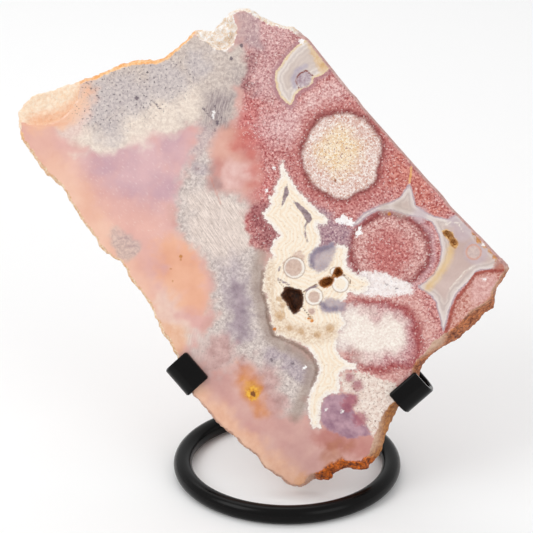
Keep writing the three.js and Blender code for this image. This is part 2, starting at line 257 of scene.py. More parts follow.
# %% Moss along the top
place("moss_left", discs=[(-103, 146, 7), (-98, 153, 4), (-95, 160, 3)])
place("corner_rim", strokes=[[(-127, 145.5), (-112, 146), (-104, 147)]], half_width=0.7)
place("moss", outlines=[[(-98, 166), (-88, 172), (-77, 177), (-66, 178), (-60, 182), (-50, 189),
    (-44, 186), (-38, 182), (-31, 184), (-29, 178), (-30, 172), (-31, 166), (-30, 160), (-30, 154),
    (-38, 150), (-44, 150), (-48, 152), (-52, 150), (-56, 147.5), (-60, 146.5), (-65, 148),
    (-70, 146.5), (-73, 144), (-80, 139.5), (-90, 137.5), (-100, 139), (-106, 141), (-107, 145),
    (-105, 150), (-104, 155), (-101, 160)]])
place("moss_blue", discs=[(-90, 157, 11), (-78, 161, 9), (-62, 168, 9), (-85, 148, 7), (-50, 175, 6)])
place("moss_cream", discs=[(-75, 146, 8), (-62, 153, 8), (-98, 142, 6), (-52, 158, 7), (-88, 140, 5)])
place("moss_specks", discs=[(-88, 158, 15), (-74, 163, 14), (-60, 170, 11)])
print("with the moss:", len(PLACES))

# %% [markdown]
# A grey band of fibrous quartz runs down the middle. It is whitish where its fibres fan out, lavender
# in its core, and pink where it thins out over the foot of the stone.

# %% The grey band
place("grey_band", outlines=[[(-41, 140), (-48, 136), (-52, 130), (-54, 124), (-55, 118), (-56, 112),
    (-54, 106), (-50, 101), (-45, 98), (-41, 90), (-38, 85), (-37, 70), (-40, 65), (-46, 54),
    (-40, 48.5), (-33, 45.5), (-25, 49), (-18, 49), (-11, 40), (-4, 30), (3, 30), (8, 44), (9, 52),
    (0, 60), (-8, 63), (-12, 70), (-15, 82), (-16, 90), (-18, 98), (-22, 108), (-23, 113), (-24, 119),
    (-28, 123), (-33, 124), (-38, 123), (-41, 124), (-40, 130)]])
place("band_neck", outlines=[[(-50, 153), (-38, 153), (-39, 143), (-41, 134), (-47, 131), (-52, 138),
    (-47, 146)]])
place("foot_edge", outlines=[[(-46, 44), (-28, 30), (-12, 17), (2, 7), (8, 0), (-10, -6), (-60, 36)]])
place("rose_dusk", discs=[(4, 18, 6), (-2, 26, 5), (10, 12, 5), (-32, 42, 5)])
place("band_lavender", outlines=[[(-29, 86), (-24, 84), (-22, 74), (-21, 64), (-25, 60), (-29, 66),
    (-30, 74)]])
place("band_core", strokes=[[(-36, 108), (-32, 97), (-28, 82), (-24, 66)]], half_width=5)
place("band_cream_fibres", outlines=[[(-50, 118), (-40, 122), (-27, 119), (-22, 103), (-32, 92),
    (-46, 99)]])
place("band_white_left", outlines=[[(-47, 62), (-40, 66), (-36, 60), (-30, 50), (-36, 47), (-44, 50)]])
place("band_dusky", discs=[(-2, 52, 5), (-46, 131, 3), (-10, 54, 3), (2, 48, 4)])
place("band_pink", discs=[(-35, 53, 8), (-12, 44, 6), (-24, 50, 5), (-8, 36, 5)])
print("with the grey band:", len(PLACES))

# %% [markdown]
# The right half is crimson amethyst, a mass of tiny crystals stained by iron. It isn't one red: some
# parts are hot, some pale or mauve, and smooth salmon lobes lie along its left side.

# %% Crimson amethyst
place("crimson", outlines=[[(-34, 205), (-28, 192), (-31, 187), (-27, 183), (-32, 179), (-28, 175),
    (-34, 170), (-30, 166), (-33, 160), (-29, 155), (-31, 149), (-27, 144), (-21, 139), (-20, 130),
    (-21, 118), (-24, 108), (-18, 97), (-8, 98), (8, 92), (20, 84), (18, 66), (19, 56), (27, 47),
    (40, 47), (56, 48), (95, 95), (60, 142), (-5, 203)]])
place("rose_top", outlines=[[(-32, 202), (-29, 165), (-15, 160), (-5, 182), (-10, 202)]])
place("hot_red", discs=[(-27, 144, 9), (-27, 155, 6), (-20, 124, 6), (-18, 112, 5), (-26, 134, 6)])
place("dark_top", discs=[(-27, 177, 3.5), (-28, 168, 3.5), (-30, 172, 3), (-24, 183, 3),
    (-29, 187, 2.5)])
place("bright_right", discs=[(8, 166, 6), (0, 160, 6), (-8, 150, 7), (22, 158, 4)])
place("salmon_right", discs=[(36, 136, 8), (46, 127, 7), (29, 153, 4), (52, 120, 4)])
place("dark_mauve", outlines=[[(-22, 118), (-14, 122), (-12, 112), (-10, 100), (-16, 99), (-21, 106)]])
place("pale_sparkle", discs=[(-20, 188, 9), (-18, 172, 8), (-14, 152, 9), (5, 118, 4)])
place("salmon_lobes", outlines=[[(-39, 146), (-36, 149), (-31, 148), (-28, 143), (-22, 136), (-20, 130),
    (-21, 124), (-25, 122), (-31, 123), (-37, 124), (-41, 126), (-39, 131), (-41, 137), (-40, 142)]])
place("salmon_pale", discs=[(-32, 129, 6), (-26, 131, 4)])
place("lobe_orange", discs=[(-36.5, 141, 5), (-35, 147, 4), (-31, 135, 3)])
place("lobe_red", discs=[(-28, 143.5, 4.5), (-24.5, 139, 3), (-22.5, 133, 2.5), (-24, 126, 2)])
place("lobe_dusk", discs=[(-39, 126, 3), (-40.5, 131, 2)])
place("mauve_crown", outlines=[[(-34, 200), (-24, 200), (-24, 184), (-31, 182), (-35, 187)]])
place("dark_marks", discs=[(-31, 184, 0.8), (-35, 178, 0.8), (-39.5, 151, 0.9), (-74.5, 159.5, 1.0),
    (-91, 158.5, 0.6), (-94, 151, 0.6), (-40.5, 148, 0.5), (-10.8, 52.8, 0.7), (-2, 52.1, 0.8),
    (35.5, 88, 0.6), (40, 87, 0.5), (60, 109.5, 0.5), (-36, 186, 0.7)], strokes=[[(-68, 159),
    (-63, 154.5)], [(-74.5, 159.5), (-71, 155)], [(-46, 157), (-42, 153)], [(-41, 158), (-38, 153)]],
    half_width=0.25)
place("dark_fibres", outlines=[[(-45, 162), (-36, 164), (-33, 172), (-31, 160), (-36, 150),
    (-45, 149)]])
print("with the crimson field:", len(PLACES))

# %% [markdown]
# Three round orbs grew outwards from a centre, each with a dark ring and a pale, sugary inside. An oval
# or an outline gives the body, and the glazes later use the distance inside it for the rings.

# %% The three orbs
place("orb_1", outlines=[oval(13.8, 140.8, 21.3, 22.3)])
place("orb_1_heart", discs=[(13, 142, 9)])
place("orb_2", outlines=[oval(36, 102.5, 20, 18.5)])
place("orb_2_heart", discs=[(36, 101, 9)])
place("orb_3", outlines=[[(18, 78), (24, 81), (35, 82.5), (45, 80), (51, 74), (53, 66), (53, 60),
    (48, 54), (38, 50), (29, 51), (22, 56), (17, 62), (16, 71)]])
place("orb_3_halo", outlines=[[(17, 84), (35, 86), (48, 84), (57, 74), (59, 64), (55, 53), (40, 46),
    (26, 48)]])
place("orb_3_heart", discs=[(29, 66, 10), (37, 67, 8), (22, 67, 6)])
place("orb_3_left", discs=[(20, 69, 4.5), (19.5, 63, 4.5), (21, 75, 2.5)])
print("with the orbs:", len(PLACES))

# %% [markdown]
# Pale banded agate fills the gaps between the orbs: a small hook at the top with a pocket in it, and a
# grey star at the right with a yellow streak, an eye and rust along the edge.

# %% Agate in the gaps
place("agate_c", outlines=[[(-4, 188), (-7.5, 185.5), (-10.5, 182), (-12.5, 179.5), (-14, 176.5),
    (-16, 174), (-16.2, 170.5), (-15.3, 167), (-13.5, 163.5), (-11.3, 161.5), (-9, 160), (-7.8, 162),
    (-7.3, 164.5), (-5.5, 166.5), (-4, 167.5), (-1.5, 168.5), (-0.2, 170), (0.2, 172.2), (3, 173),
    (5, 174.8), (6.8, 176.6), (5, 182), (0, 188)]])
place("agate_arm", outlines=[[(-4, 187), (0, 186), (7, 177), (3, 174), (-1, 181)]])
place("agate_pocket", outlines=[[(-8, 170.5), (-7.3, 173.2), (-5.6, 174.8), (-3, 175.3), (-0.4, 173.4),
    (-0.2, 171), (-1.2, 169), (-3, 167.6), (-5.2, 167.4), (-6.6, 168.8)]])
place("pocket_halo", strokes=[[(-7.6, 168), (-8.6, 171), (-7.2, 174.6), (-3.5, 176.8)]], half_width=1)
place("pocket_line", strokes=[[(-5.6, 167.2), (-7.2, 169.5), (-7.2, 171.4), (-6, 173.4), (-3.2, 175),
    (-0.2, 172.9)]], half_width=0.35)
place("grey_agate", outlines=[[(42.5, 131), (44, 128.5), (45, 125), (46, 122), (48, 120.5), (51, 119),
    (54, 118), (60, 117), (63, 119.5), (70, 114), (81, 104), (85, 101), (82, 99.5), (80, 97.5),
    (77, 96.8), (74, 96.5), (72.5, 95.5), (71.5, 93.5), (69.5, 91), (67, 88.5), (65, 86), (64, 83),
    (62.8, 80), (62, 76), (61.5, 73), (60.5, 69.5), (59.5, 72), (59, 75), (57.5, 78.5), (56.5, 82),
    (54.5, 84.5), (52, 86), (48, 88), (51, 90), (55, 94), (57, 99), (57.5, 104), (56, 110), (53, 115),
    (48, 117), (44, 117), (40, 118), (36, 119), (30, 118.5), (26, 116), (22, 112), (18, 110.5),
    (19, 111), (21, 113.5), (24, 117), (28, 119.5), (31, 121), (35, 122.5), (39, 125)]])
place("agate_yellow", strokes=[[(61.5, 105), (61, 101), (59, 97), (56, 92), (53, 88)]], half_width=1.5)
place("agate_lilac", discs=[(66, 112, 4), (72, 104, 5), (62, 116, 2.5), (48, 118, 3)])
place("pale_arc", strokes=[[(57.5, 117), (59, 114.5), (61, 116), (64, 115.5), (66, 112)], [(62, 88),
    (65, 92), (68, 96), (72, 98.5)]], half_width=0.3)
place("agate_taupe", discs=[(40, 120, 4), (33, 119.5, 2.5)])
place("agate_eye", discs=[(71, 104, 3.4)])
place("edge_rust", discs=[(71.5, 112, 1.6), (73, 109.5, 1.9), (75.5, 107.5, 1.5), (78.5, 105.5, 1.7),
    (80.5, 103, 1.6)])
place("orange_vein", strokes=[[(43, 137.5), (43, 134), (42.5, 131)]], half_width=0.5)
place("right_corner", discs=[(84, 98, 4.5)])
print("with the agate:", len(PLACES))

# %% [markdown]
# A red wedge closes the right side, paler in the middle and browned by weather towards the rind.

# %% The red wedge
place("red_wedge", outlines=[[(72, 95.5), (76, 97), (80, 97.5), (86, 98), (90, 90), (82, 76), (70, 62),
    (62, 62), (60.8, 70), (62, 74), (63, 80), (65, 85), (68, 89)]])
place("wedge_pale", outlines=[[(72, 93), (80, 95), (82, 90), (77, 84), (72, 82), (70, 88)]])
place("wedge_brown", outlines=[[(86, 88), (79, 86), (74, 78), (66, 73), (61, 66), (75, 60), (90, 78)]])
print("with the wedge:", len(PLACES))

# %% [markdown]
# A branching cream chalcedony runs down the middle, the brightest and sharpest body on the face. Its
# border decides the likeness, so its outline has a point every two or three millimetres. A shadow lies
# along its left side, where it goes down under the clear quartz.

# %% Cream chalcedony
CREAM = [(-10.8, 136.9), (-9.8, 133.8), (-7.9, 130.6), (-6, 127.5), (-3.9, 125), (-1.4, 122.8),
    (1.1, 120.6), (3.6, 118.4), (5.5, 116.6), (8, 115.3), (9.3, 113.8), (9.6, 111.9), (7.1, 110.9),
    (4.9, 111.6), (5.2, 109.4), (7, 106.9), (7, 104.4), (6.4, 101.3), (4.9, 99.4), (3.6, 97.5),
    (3.3, 95), (6, 96), (7.4, 98.8), (9.3, 101.9), (11.8, 103.1), (15.5, 103.4), (18.6, 102.5),
    (18.6, 100), (18, 97.5), (18.6, 93.8), (20.5, 93), (23, 91.3), (25.5, 90.6), (28, 90), (28.9, 87.5),
    (27.4, 85), (24.3, 83.1), (19.9, 83.8), (19, 81), (16, 78), (17.5, 74), (19.9, 70.3), (16.8, 67),
    (16.1, 60.3), (18, 56.5), (21, 54.6), (25, 54), (25, 51.5), (20.5, 51.5), (18, 49), (18.6, 41.5),
    (16.8, 40.9), (13.6, 40.3), (12, 38.4), (11.1, 35.3), (10.8, 31.5), (11.1, 28.4), (11.8, 25.9),
    (8, 25.3), (6, 31), (5.5, 37.8), (7.4, 43.4), (8.3, 45.9), (9.3, 49), (9.6, 50.9), (8.6, 52.8),
    (7.4, 55.3), (5.5, 57.8), (3.6, 59.6), (1.1, 60.9), (-2.6, 62.1), (-5.1, 62.1), (-6.7, 64),
    (-9.2, 63.7), (-10.4, 65.9), (-11.7, 68.4), (-12.3, 71.5), (-13.3, 74.6), (-13.9, 77.8),
    (-14.5, 80.9), (-16.4, 82), (-16, 86.9), (-15.8, 90), (-15.1, 93.8), (-12.6, 96.9), (-14.5, 99.4),
    (-13.3, 101.3), (-12.6, 103.8), (-10.1, 105.6), (-12.6, 108.1), (-15.1, 110.6), (-17.6, 112.5),
    (-18.3, 114.4), (-16.4, 116.3), (-14.8, 118.8), (-15.8, 121.3), (-13.3, 123.4), (-13.9, 125.6),
    (-12.6, 128), (-11.1, 130.6), (-12, 133.1), (-11.7, 136.3)]
place("cream", outlines=[CREAM])
place("cream_shadow", strokes=[[(-18, 97), (-19, 90), (-18.8, 83), (-16.5, 76), (-15, 70), (-12, 63),
    (-7, 59.5), (-1, 57.5), (3, 54.5), (6, 51), (6, 47), (4.8, 42), (2.8, 37), (0.5, 30)]],
    half_width=2.6)
place("shadow_core", strokes=[[(-16.4, 90), (-16.8, 82), (-14.2, 76), (-13.4, 70), (-10.8, 63.5),
    (-7, 62.5), (-2.6, 61), (1.8, 59), (6, 56), (8.4, 52), (8.6, 48.5), (7, 43)]], half_width=0.9)
print("with the cream:", len(PLACES))

# %% [markdown]
# In the cream lie thin open slits, grey and pinkish lenses, round lobes with a white rim, tan stains
# and brown cracks between the vugs. They are small, so discs and strokes are enough.

# %% What lies in the cream
place("cream_slits", outlines=[[(-8.6, 128), (-8.2, 125.5), (-7.4, 123.6), (-8.4, 121.6), (-9.4, 119),
    (-10.6, 117), (-10.2, 120), (-9.9, 122.6), (-9.6, 125)], [(-6, 120.6), (-3.5, 119.8), (-0.5, 117.6),
    (1.8, 115.6), (3, 113), (1.6, 111.4), (0.4, 112.4), (-1.2, 115), (-3.4, 117.4)]],
    strokes=[[(1.4, 113), (0, 110), (0.3, 106.3), (1.4, 103.8)], [(-9.6, 92.5), (-9.9, 90.6)],
    [(-10.3, 87.4), (-8, 86.2), (-5.4, 85.2)], [(1.8, 83), (3.6, 84.4), (6.8, 85.6)]], half_width=0.4)
place("mauve_gap", outlines=[[(5, 116), (9, 117), (16, 115), (20, 109), (19, 103), (12, 102), (8, 100),
    (6, 105), (4, 110)]])
place("cream_grey", outlines=[[(3, 99), (5, 101.5), (9, 102.5), (12, 104), (14, 102), (13, 99),
    (12, 96), (10, 92.5), (6.5, 91), (4, 93), (3, 96)], [(8, 76.5), (10, 74.2), (14, 74.4), (19, 76),
    (19, 79), (15, 80.4), (11, 81), (9, 79)]])
place("cream_dusk", strokes=[[(4, 93.5), (3.4, 97), (5, 100), (9, 101.6), (12, 103)], [(9, 78),
    (11.5, 76), (15, 76.6)]], half_width=1)
place("cream_pinkish", discs=[(-4, 92.5, 4.4), (5.5, 80.6, 2.6), (4.9, 74.6, 1.4), (-2, 97, 2.6)])
place("pinkish_cores", discs=[(5.6, 80.8, 2.4), (-3.8, 92.6, 3.6), (5, 74.6, 1.3)])
place("cream_tan", discs=[(-8.3, 72, 2.2), (-7.5, 76.5, 1.6), (1, 65.8, 1.4), (8, 65, 1.6),
    (13, 68, 1.8), (-9, 79, 1.4), (-4, 67, 1.4), (4.6, 72, 1)])
place("orange_grain", discs=[(5.2, 70.6, 0.8), (3.8, 71.6, 0.5), (-10.5, 66, 0.8)])
place("cream_lobes", discs=[(16.3, 87, 3.8), (5.5, 81, 4), (-3.5, 92.5, 4.8), (13.5, 92, 2)])
place("white_sparks", discs=[(16, 114, 2), (19, 113, 1.6), (14, 113.4, 1.2), (22.5, 108.7, 1.4),
    (23, 110.5, 1), (3.3, 50.9, 0.8), (76, 93, 0.9), (13.4, 33.8, 0.6), (20, 33.4, 0.6), (-6, 187, 1.3),
    (75, 107.5, 0.9), (-17, 124, 0.8), (-14.5, 134, 0.8)], strokes=[[(-41.3, 156.5), (-41.6, 153)]],
    half_width=0.35)
place("white_fuzz", outlines=[[(24, 93), (34, 93), (46, 89), (47, 85), (38, 83.5), (28, 82.5),
    (20, 84)]])
place("cream_fringe", outlines=[[(-17, 99), (-12.5, 96), (-11, 88), (-11.5, 80), (-8, 73), (-3, 69),
    (6, 69), (16, 71), (17, 64), (8, 61), (-2, 60), (-10, 62), (-15, 70), (-18, 84)]])
PLACES["cream_fringe"] = np.minimum(PLACES["cream_fringe"], PLACES["cream"])
place("brown_crack", strokes=[[(0.6, 82.4), (2.4, 83.6), (4.4, 84.9), (6.6, 86.4)], [(12.5, 90),
    (14.6, 91.8)], [(16.6, 91), (18.8, 90.4), (20.2, 89), (20.6, 87.2)], [(-10.2, 87), (-8.4, 84.8),
    (-7, 84)], [(1.4, 75.5), (3.4, 73.4), (5, 71.2)]], half_width=0.3)
print("with what lies in the cream:", len(PLACES))

# %% [markdown]
# At the foot are a lilac lens, a speckled cream patch, rose and rust stains, a small orange pit with a
# rusty bloom round it, and the patch where the iron crust laps over the face.

# %% The foot of the stone
place("lilac", outlines=[[(12, 38.4), (13.6, 40.3), (20.5, 41), (26, 40.3), (25.5, 37.8), (24, 36),
    (26.8, 32), (29, 29.6), (31.7, 27.1), (32.6, 24.6), (24, 22), (14.9, 25.3), (11.1, 28.4),
    (10.8, 31.5), (11.1, 35.3)]])
place("deep_rose", discs=[(24, 38.5, 3), (26, 45, 2.4), (28, 31, 3), (22.5, 48, 2), (22, 36, 2.5)])
place("cream_speckled", outlines=[[(18, 49), (25, 51), (34, 49), (42, 47), (44, 40), (38, 31), (34, 24),
    (31.7, 27.1), (27, 32), (24, 36), (26, 40.3), (20, 42)]])
place("foot_rose", outlines=[[(14, 27), (24, 24), (34, 26), (38, 20), (34, 14), (22, 15), (14, 18),
    (8, 20)]])
place("foot_rust", discs=[(18, 16, 4), (14, 13, 2.5), (22, 18, 3)])
place("crust_patch", outlines=[[(6, -2), (10, 5), (14, 10), (18, 12), (21, 15), (24, 12), (29, 11),
    (34, 12), (36, 8), (28, 3), (18, -3)]])
place("orange_zone", outlines=[[(-26, 51), (-20, 51), (-15, 42), (-12, 30), (-19, 32), (-23, 37),
    (-25, 45)]])
place("orange_core", outlines=[[(-22, 46), (-18.5, 43), (-15.5, 39), (-16, 35.5), (-19.5, 36),
    (-21.5, 40)]])
place("pit_rim", discs=[(-18.1, 38.2, 2.9)])
place("pit_heart", discs=[(-18.1, 38.1, 1.1), (-17.2, 37.2, 0.5)])
place("rust_dot", discs=[(11.5, 130, 0.7), (12, 129.4, 0.5), (14, 141, 0.5), (8, 145, 0.4),
    (17, 147, 0.4)])
place("tip_orange", discs=[(7, 2, 4)])
place("red_line", strokes=[[(-41, 128), (-38.5, 122), (-36, 117)]], half_width=0.4)
place("orange_dots", discs=[(-56, 88.5, 0.5), (-55, 83.3, 0.5), (-52, 92.5, 0.5), (35, 117.5, 0.8),
    (-52, 94, 0.8)])
print("all places:", len(PLACES))

# %% [markdown]
# Off the polish the stone has other colours: a glowing yellow skin at the upper left, where light comes
# through the thin edge, a white crystalline notch at the top, a brown rind at the lower right, and
# brown walls in the open vugs. A second material could be given to those faces, but its border would
# show the mesh. So the distance to the nearest wall is stored too, and noise makes the border uneven.

# %% Distance to the walls
WALL_REACH = 6
DEEPEST = 10
SKIN = 0.15

def store(mesh, name, values):
    attribute = mesh.attributes.new(name, "FLOAT", "POINT")
    attribute.data.foreach_set("value", np.ascontiguousarray(values, np.float32))

def away_from_walls(on_face, near_level):
    walls = at[~on_polish & ~flat_back & (np.abs(at[:, 2] - near_level) < WALL_REACH)]
    tree = kdtree.KDTree(len(walls))
    for i, point in enumerate(walls):
        tree.insert((point[0], point[1], 0), i)
    tree.balance()
    return [tree.find((at[i, 0], at[i, 1], 0))[2] for i in np.flatnonzero(on_face)]

off_polish = np.minimum(-at[:, 2], DEEPEST) - SKIN
off_polish[on_polish] = -np.array(away_from_walls(on_polish, 0))
off_polish[flat_back] = -np.array(away_from_walls(flat_back, -thickness))
store(stone.data, "matte", (~on_polish).astype(float))
print("widest polish", round(-off_polish.min(), 1), "mm from a wall")

# %% [markdown]
# Which colour a wall has depends on the side of the stone that it is on. The sides are wide outlines
# that overlap, and the later one wins. Discs mark the vugs.

# %% Sides of the rind
SIDES = {
    "upper_left": [(-150, 140), (-118, 140), (-100, 155), (-60, 170), (-46, 180), (-46, 198),
        (-150, 198)],
    "left": [(-150, 146), (-118, 146), (-80, 110), (-50, 70), (-40, 52), (-60, 40), (-150, 60)],
    "notch": [(-52, 196), (-50, 180), (-40, 176), (-32, 182), (-26, 190), (-8, 188), (-8, 210),
        (-52, 210)],
    "lower_left": [(-50, 50), (-20, 22), (0, 8), (12, 6), (12, -12), (-80, -12), (-80, 50)],
    "crust": [(10, 6), (14, 15), (18, 17), (26, 16), (34, 15), (40, 8), (36, -8), (10, -8)],
    "right_bevel": [(30, 12), (36, 20), (38, 40), (60, 45), (60, -5), (36, 4)],
    "lower_right": [(48, 56), (60, 64), (64, 74), (78, 84), (84, 97), (100, 100), (100, 40), (50, 45)],
    "sawn_side": [(-16, 190), (-6, 184), (70, 108), (82, 98), (100, 100), (60, 160), (-10, 210)],
    "dish": [(-132, 142.5), (-110, 143.5), (-100, 147), (-97, 154), (-96, 161.5), (-104, 168),
        (-122, 166), (-135, 156)],
}
VUGS = {"dark_vug": (-3, 79, 9), "brown_vug": (13, 89, 11), "lens_vug": (60, 108, 9),
    "orange_pit": (-18.1, 38.1, 3.5)}
for name, outline in SIDES.items():
    place(name, outlines=[outline])
for name, disc in VUGS.items():
    place(name, discs=[disc])
print(len(SIDES), "sides and", len(VUGS), "vugs,", len(PLACES), "places in all")

# %% [markdown]
# The stone is quartz, cut with a diamond saw and polished on a wheel with fine oxide. That gives the
# eye a clear, wet gloss over colours that seem to lie a little under the surface, while the rind and
# the open vugs stay matt. A photo could carry the colours, but here each mineral is a rule: two
# colours, and a grain that mixes them. The shader reads the face's own millimetres, so every grain has
# a real size.

# %% Colours, nodes and the stone's material
def colour(hex_text):
    parts = [int(hex_text[i:i + 2], 16) / 255 for i in (0, 2, 4)]
    return [p / 12.92 if p <= 0.04045 else ((p + 0.055) / 1.055) ** 2.4 for p in parts] + [1]

def add(tree, kind, settings=None, inputs=None):
    node = tree.nodes.new(kind)
    for key, value in (settings or {}).items():
        setattr(node, key, value)
    for key, value in (inputs or {}).items():
        if isinstance(value, bpy.types.NodeSocket):
            tree.links.new(value, node.inputs[key])
        else:
            node.inputs[key].default_value = value
    return node

def new_material(name):
    material = bpy.data.materials.new(name)
    material.use_nodes = True
    return material, material.node_tree, material.node_tree.nodes["Principled BSDF"]

polished_quartz, quartz, shader = new_material("polished_amethyst_and_agate")
whole_object = add(quartz, "ShaderNodeTexCoord").outputs["Object"]
face_mm = add(quartz, "ShaderNodeMapping", inputs={
    "Vector": whole_object, "Scale": (1 / MM, 1 / MM, 1 / MM), "Rotation": to_face.to_euler(),
    "Location": to_face.translation / MM}).outputs["Vector"]
print("material:", polished_quartz.name)

# %% [markdown]
# A grain is a noise with the size of the thing it stands for: clouds in the chalcedony are centimetres
# wide, moss and sugary quartz about a millimetre. Each noise is spread to the full range from 0 to 1,
# so it can mix two colours. The sugar and the moss of the real stone are partly finer than a pixel
# here, and are drawn as coarse as they need to show.

# %% Cloudy and mossy grains
# name, size (mm), detail, roughness, lowest and highest value that is kept, bend
GRAINS = [
    ("clouds", 16, 5, 0.55, 0.35, 0.65, 0),
    ("mottle", 5, 6, 0.6, 0.35, 0.65, 0),
    ("grain", 1.6, 5, 0.65, 0.36, 0.64, 0),
    ("fine", 0.7, 3, 0.6, 0.36, 0.64, 0),
    ("moss", 1.5, 8, 0.75, 0.39, 0.61, 0.5),
    ("specks", 1.0, 3, 0.6, 0.58, 0.65, 0),
    ("between_crystals", 1.0, 4, 0.65, 0.42, 0.58, 0),
    ("ragged_edge", 1.5, 7, 0.75, 0.25, 0.75, 0),
]
PATTERNS = {}
for name, size, detail, roughness, low, high, bend in GRAINS:
    cloud = add(quartz, "ShaderNodeTexNoise", inputs={
        "Vector": face_mm, "Scale": 1 / size, "Detail": detail, "Roughness": roughness,
        "Distortion": bend})
    PATTERNS[name] = add(quartz, "ShaderNodeMapRange", inputs={
        "Value": cloud.outputs["Fac"], "From Min": low, "From Max": high}).outputs["Result"]
print("grains:", list(PATTERNS))

# %% [markdown]
# Fibres of quartz run in one direction. They are the same noise, read through a turned and stretched
# mapping, which is simpler than drawing hairs and has no ends to hide.

# %% Fibres and scratches
# name, turn (degrees), length and width (mm), detail, roughness, lowest and highest value that is kept
STREAKS = [
    ("fibres", 52, 4.5, 0.55, 5, 0.65, 0.36, 0.64),
    ("down_fibres", 100, 5, 0.6, 5, 0.65, 0.38, 0.62),
    ("scratches", 40, 2.2, 0.4, 2, 0.5, 0.64, 0.69),
]
for name, turn, length, width, detail, roughness, low, high in STREAKS:
    turned = add(quartz, "ShaderNodeMapping", inputs={
        "Vector": face_mm, "Rotation": (0, 0, math.radians(turn))}).outputs["Vector"]
    along = add(quartz, "ShaderNodeMapping", inputs={
        "Vector": turned, "Scale": (1 / length, 1 / width, 1 / width)}).outputs["Vector"]
    streak = add(quartz, "ShaderNodeTexNoise", inputs={
        "Vector": along, "Scale": 1, "Detail": detail, "Roughness": roughness})
    PATTERNS[name] = add(quartz, "ShaderNodeMapRange", inputs={
        "Value": streak.outputs["Fac"], "From Min": low, "From Max": high}).outputs["Result"]
print("streaks:", [row[0] for row in STREAKS])

# %% [markdown]
# Drusy quartz looks like packed sugar: each grain catches the light at its own angle, so each has its
# own shade. Voronoi cells give such grains, one random value to a cell. Only the brightest few are
# sparkles.

# %% Sugary crystals
# name, size of a crystal (mm), lowest and highest value that is kept
CRYSTALS = [("crystals", 0.7, 0.25, 0.85), ("sparkle", 0.55, 0.88, 0.96)]
for name, size, low, high in CRYSTALS:
    cells = add(quartz, "ShaderNodeTexVoronoi", inputs={"Vector": face_mm, "Scale": 1 / size})
    shade = add(quartz, "ShaderNodeSeparateColor", inputs={
        "Color": cells.outputs["Color"]}).outputs["Red"]
    PATTERNS[name] = add(quartz, "ShaderNodeMapRange", inputs={
        "Value": shade, "From Min": low, "From Max": high}).outputs["Result"]
half_sugar = add(quartz, "ShaderNodeMath", {"operation": "MULTIPLY"}, {
    0: PATTERNS["crystals"], 1: 0.5}).outputs[0]
PATTERNS["sugar"] = add(quartz, "ShaderNodeMath", {"operation": "MULTIPLY_ADD"}, {
    0: PATTERNS["between_crystals"], 1: 0.5, 2: half_sugar}).outputs[0]
print(len(PATTERNS), "patterns")

# %% [markdown]
# The colours are laid over each other like glazes on a pot. Each line of the table is one glaze: the
# place, how far inside its outline it starts, two colours and the pattern that mixes them, how soft and
# how ragged its border is, and how much it covers. The wide fields have soft borders, so they are
# worked out once for each point of the mesh. That keeps the shader small enough to run.

# %% Glazes of the chalcedony and the grey band
# place, start inside (mm), first colour, second colour, pattern, softness (mm), raggedness (mm), cover
FIELDS = [
    ("chalcedony", 0, "DAA59F", "E8B9AF", "clouds", 6, 4, 1),
    ("lavender_haze", 0, "C8A2AC", "DAB2B6", "clouds", 14, 6, 0.9),
    ("salmon_haze", 0, "E0AA9E", "E9B4A6", "clouds", 9, 5, 0.65),
    ("left_peach", 0, "E8B096", "F1C5AD", "clouds", 12, 4, 0.85),
    ("left_corner", 0, "DFA89C", "E8B8A8", "clouds", 9, 4, 0.9),
    ("whitish_cloud", 0, "E4C2B4", "F0D8CA", "mottle", 6, 5, 0.7),
    ("orange_glow", 0, "E8A680", "F0B690", "clouds", 9, 5, 0.75),
    ("left_wedge", 0, "E0A070", "EBBD9A", "mottle", 3, 2, 0.6),
    ("foot_edge", 0, "E6AE8E", "F2C6A6", "mottle", 8, 4, 0.8),
    ("rose_dusk", 0, "C08E88", "D0A098", "clouds", 8, 4, 0.7),
    ("band_neck", 0, "AE999C", "DECEC8", "moss", 5, 4, 0.9),
    ("grey_band", 0, "B0A09B", "E8DBD4", "moss", 6, 5, 1),
    ("band_core", 0, "A6979E", "C8BAC0", "moss", 8, 5, 0.65),
    ("band_lavender", 0, "8C7884", "B09CA4", "mottle", 8, 5, 0.9),
    ("band_cream_fibres", 0, "C6B4AA", "FAEAE0", "fibres", 7, 5, 0.9),
    ("band_white_left", 0, "CDBBB4", "E6DAD2", "down_fibres", 6, 5, 0.7),
    ("band_pink", 0, "B2837E", "D4ABA6", "mottle", 8, 5, 0.8),
    ("band_dusky", 0, "8F8091", "B5A2AC", "moss", 5, 4, 0.6),
    ("left_moss_spot", 0, "9C8C90", "E0CCC0", "moss", 4, 4, 0.7),
]
print(len(FIELDS), "soft glazes")

# %% [markdown]
# The crimson quartz is a mass of tiny crystals, so its glazes mix a dark, glassy red with a pale,
# frosted one by the sugar. The salmon lobes along its left are smooth, so they mix in softer patterns.

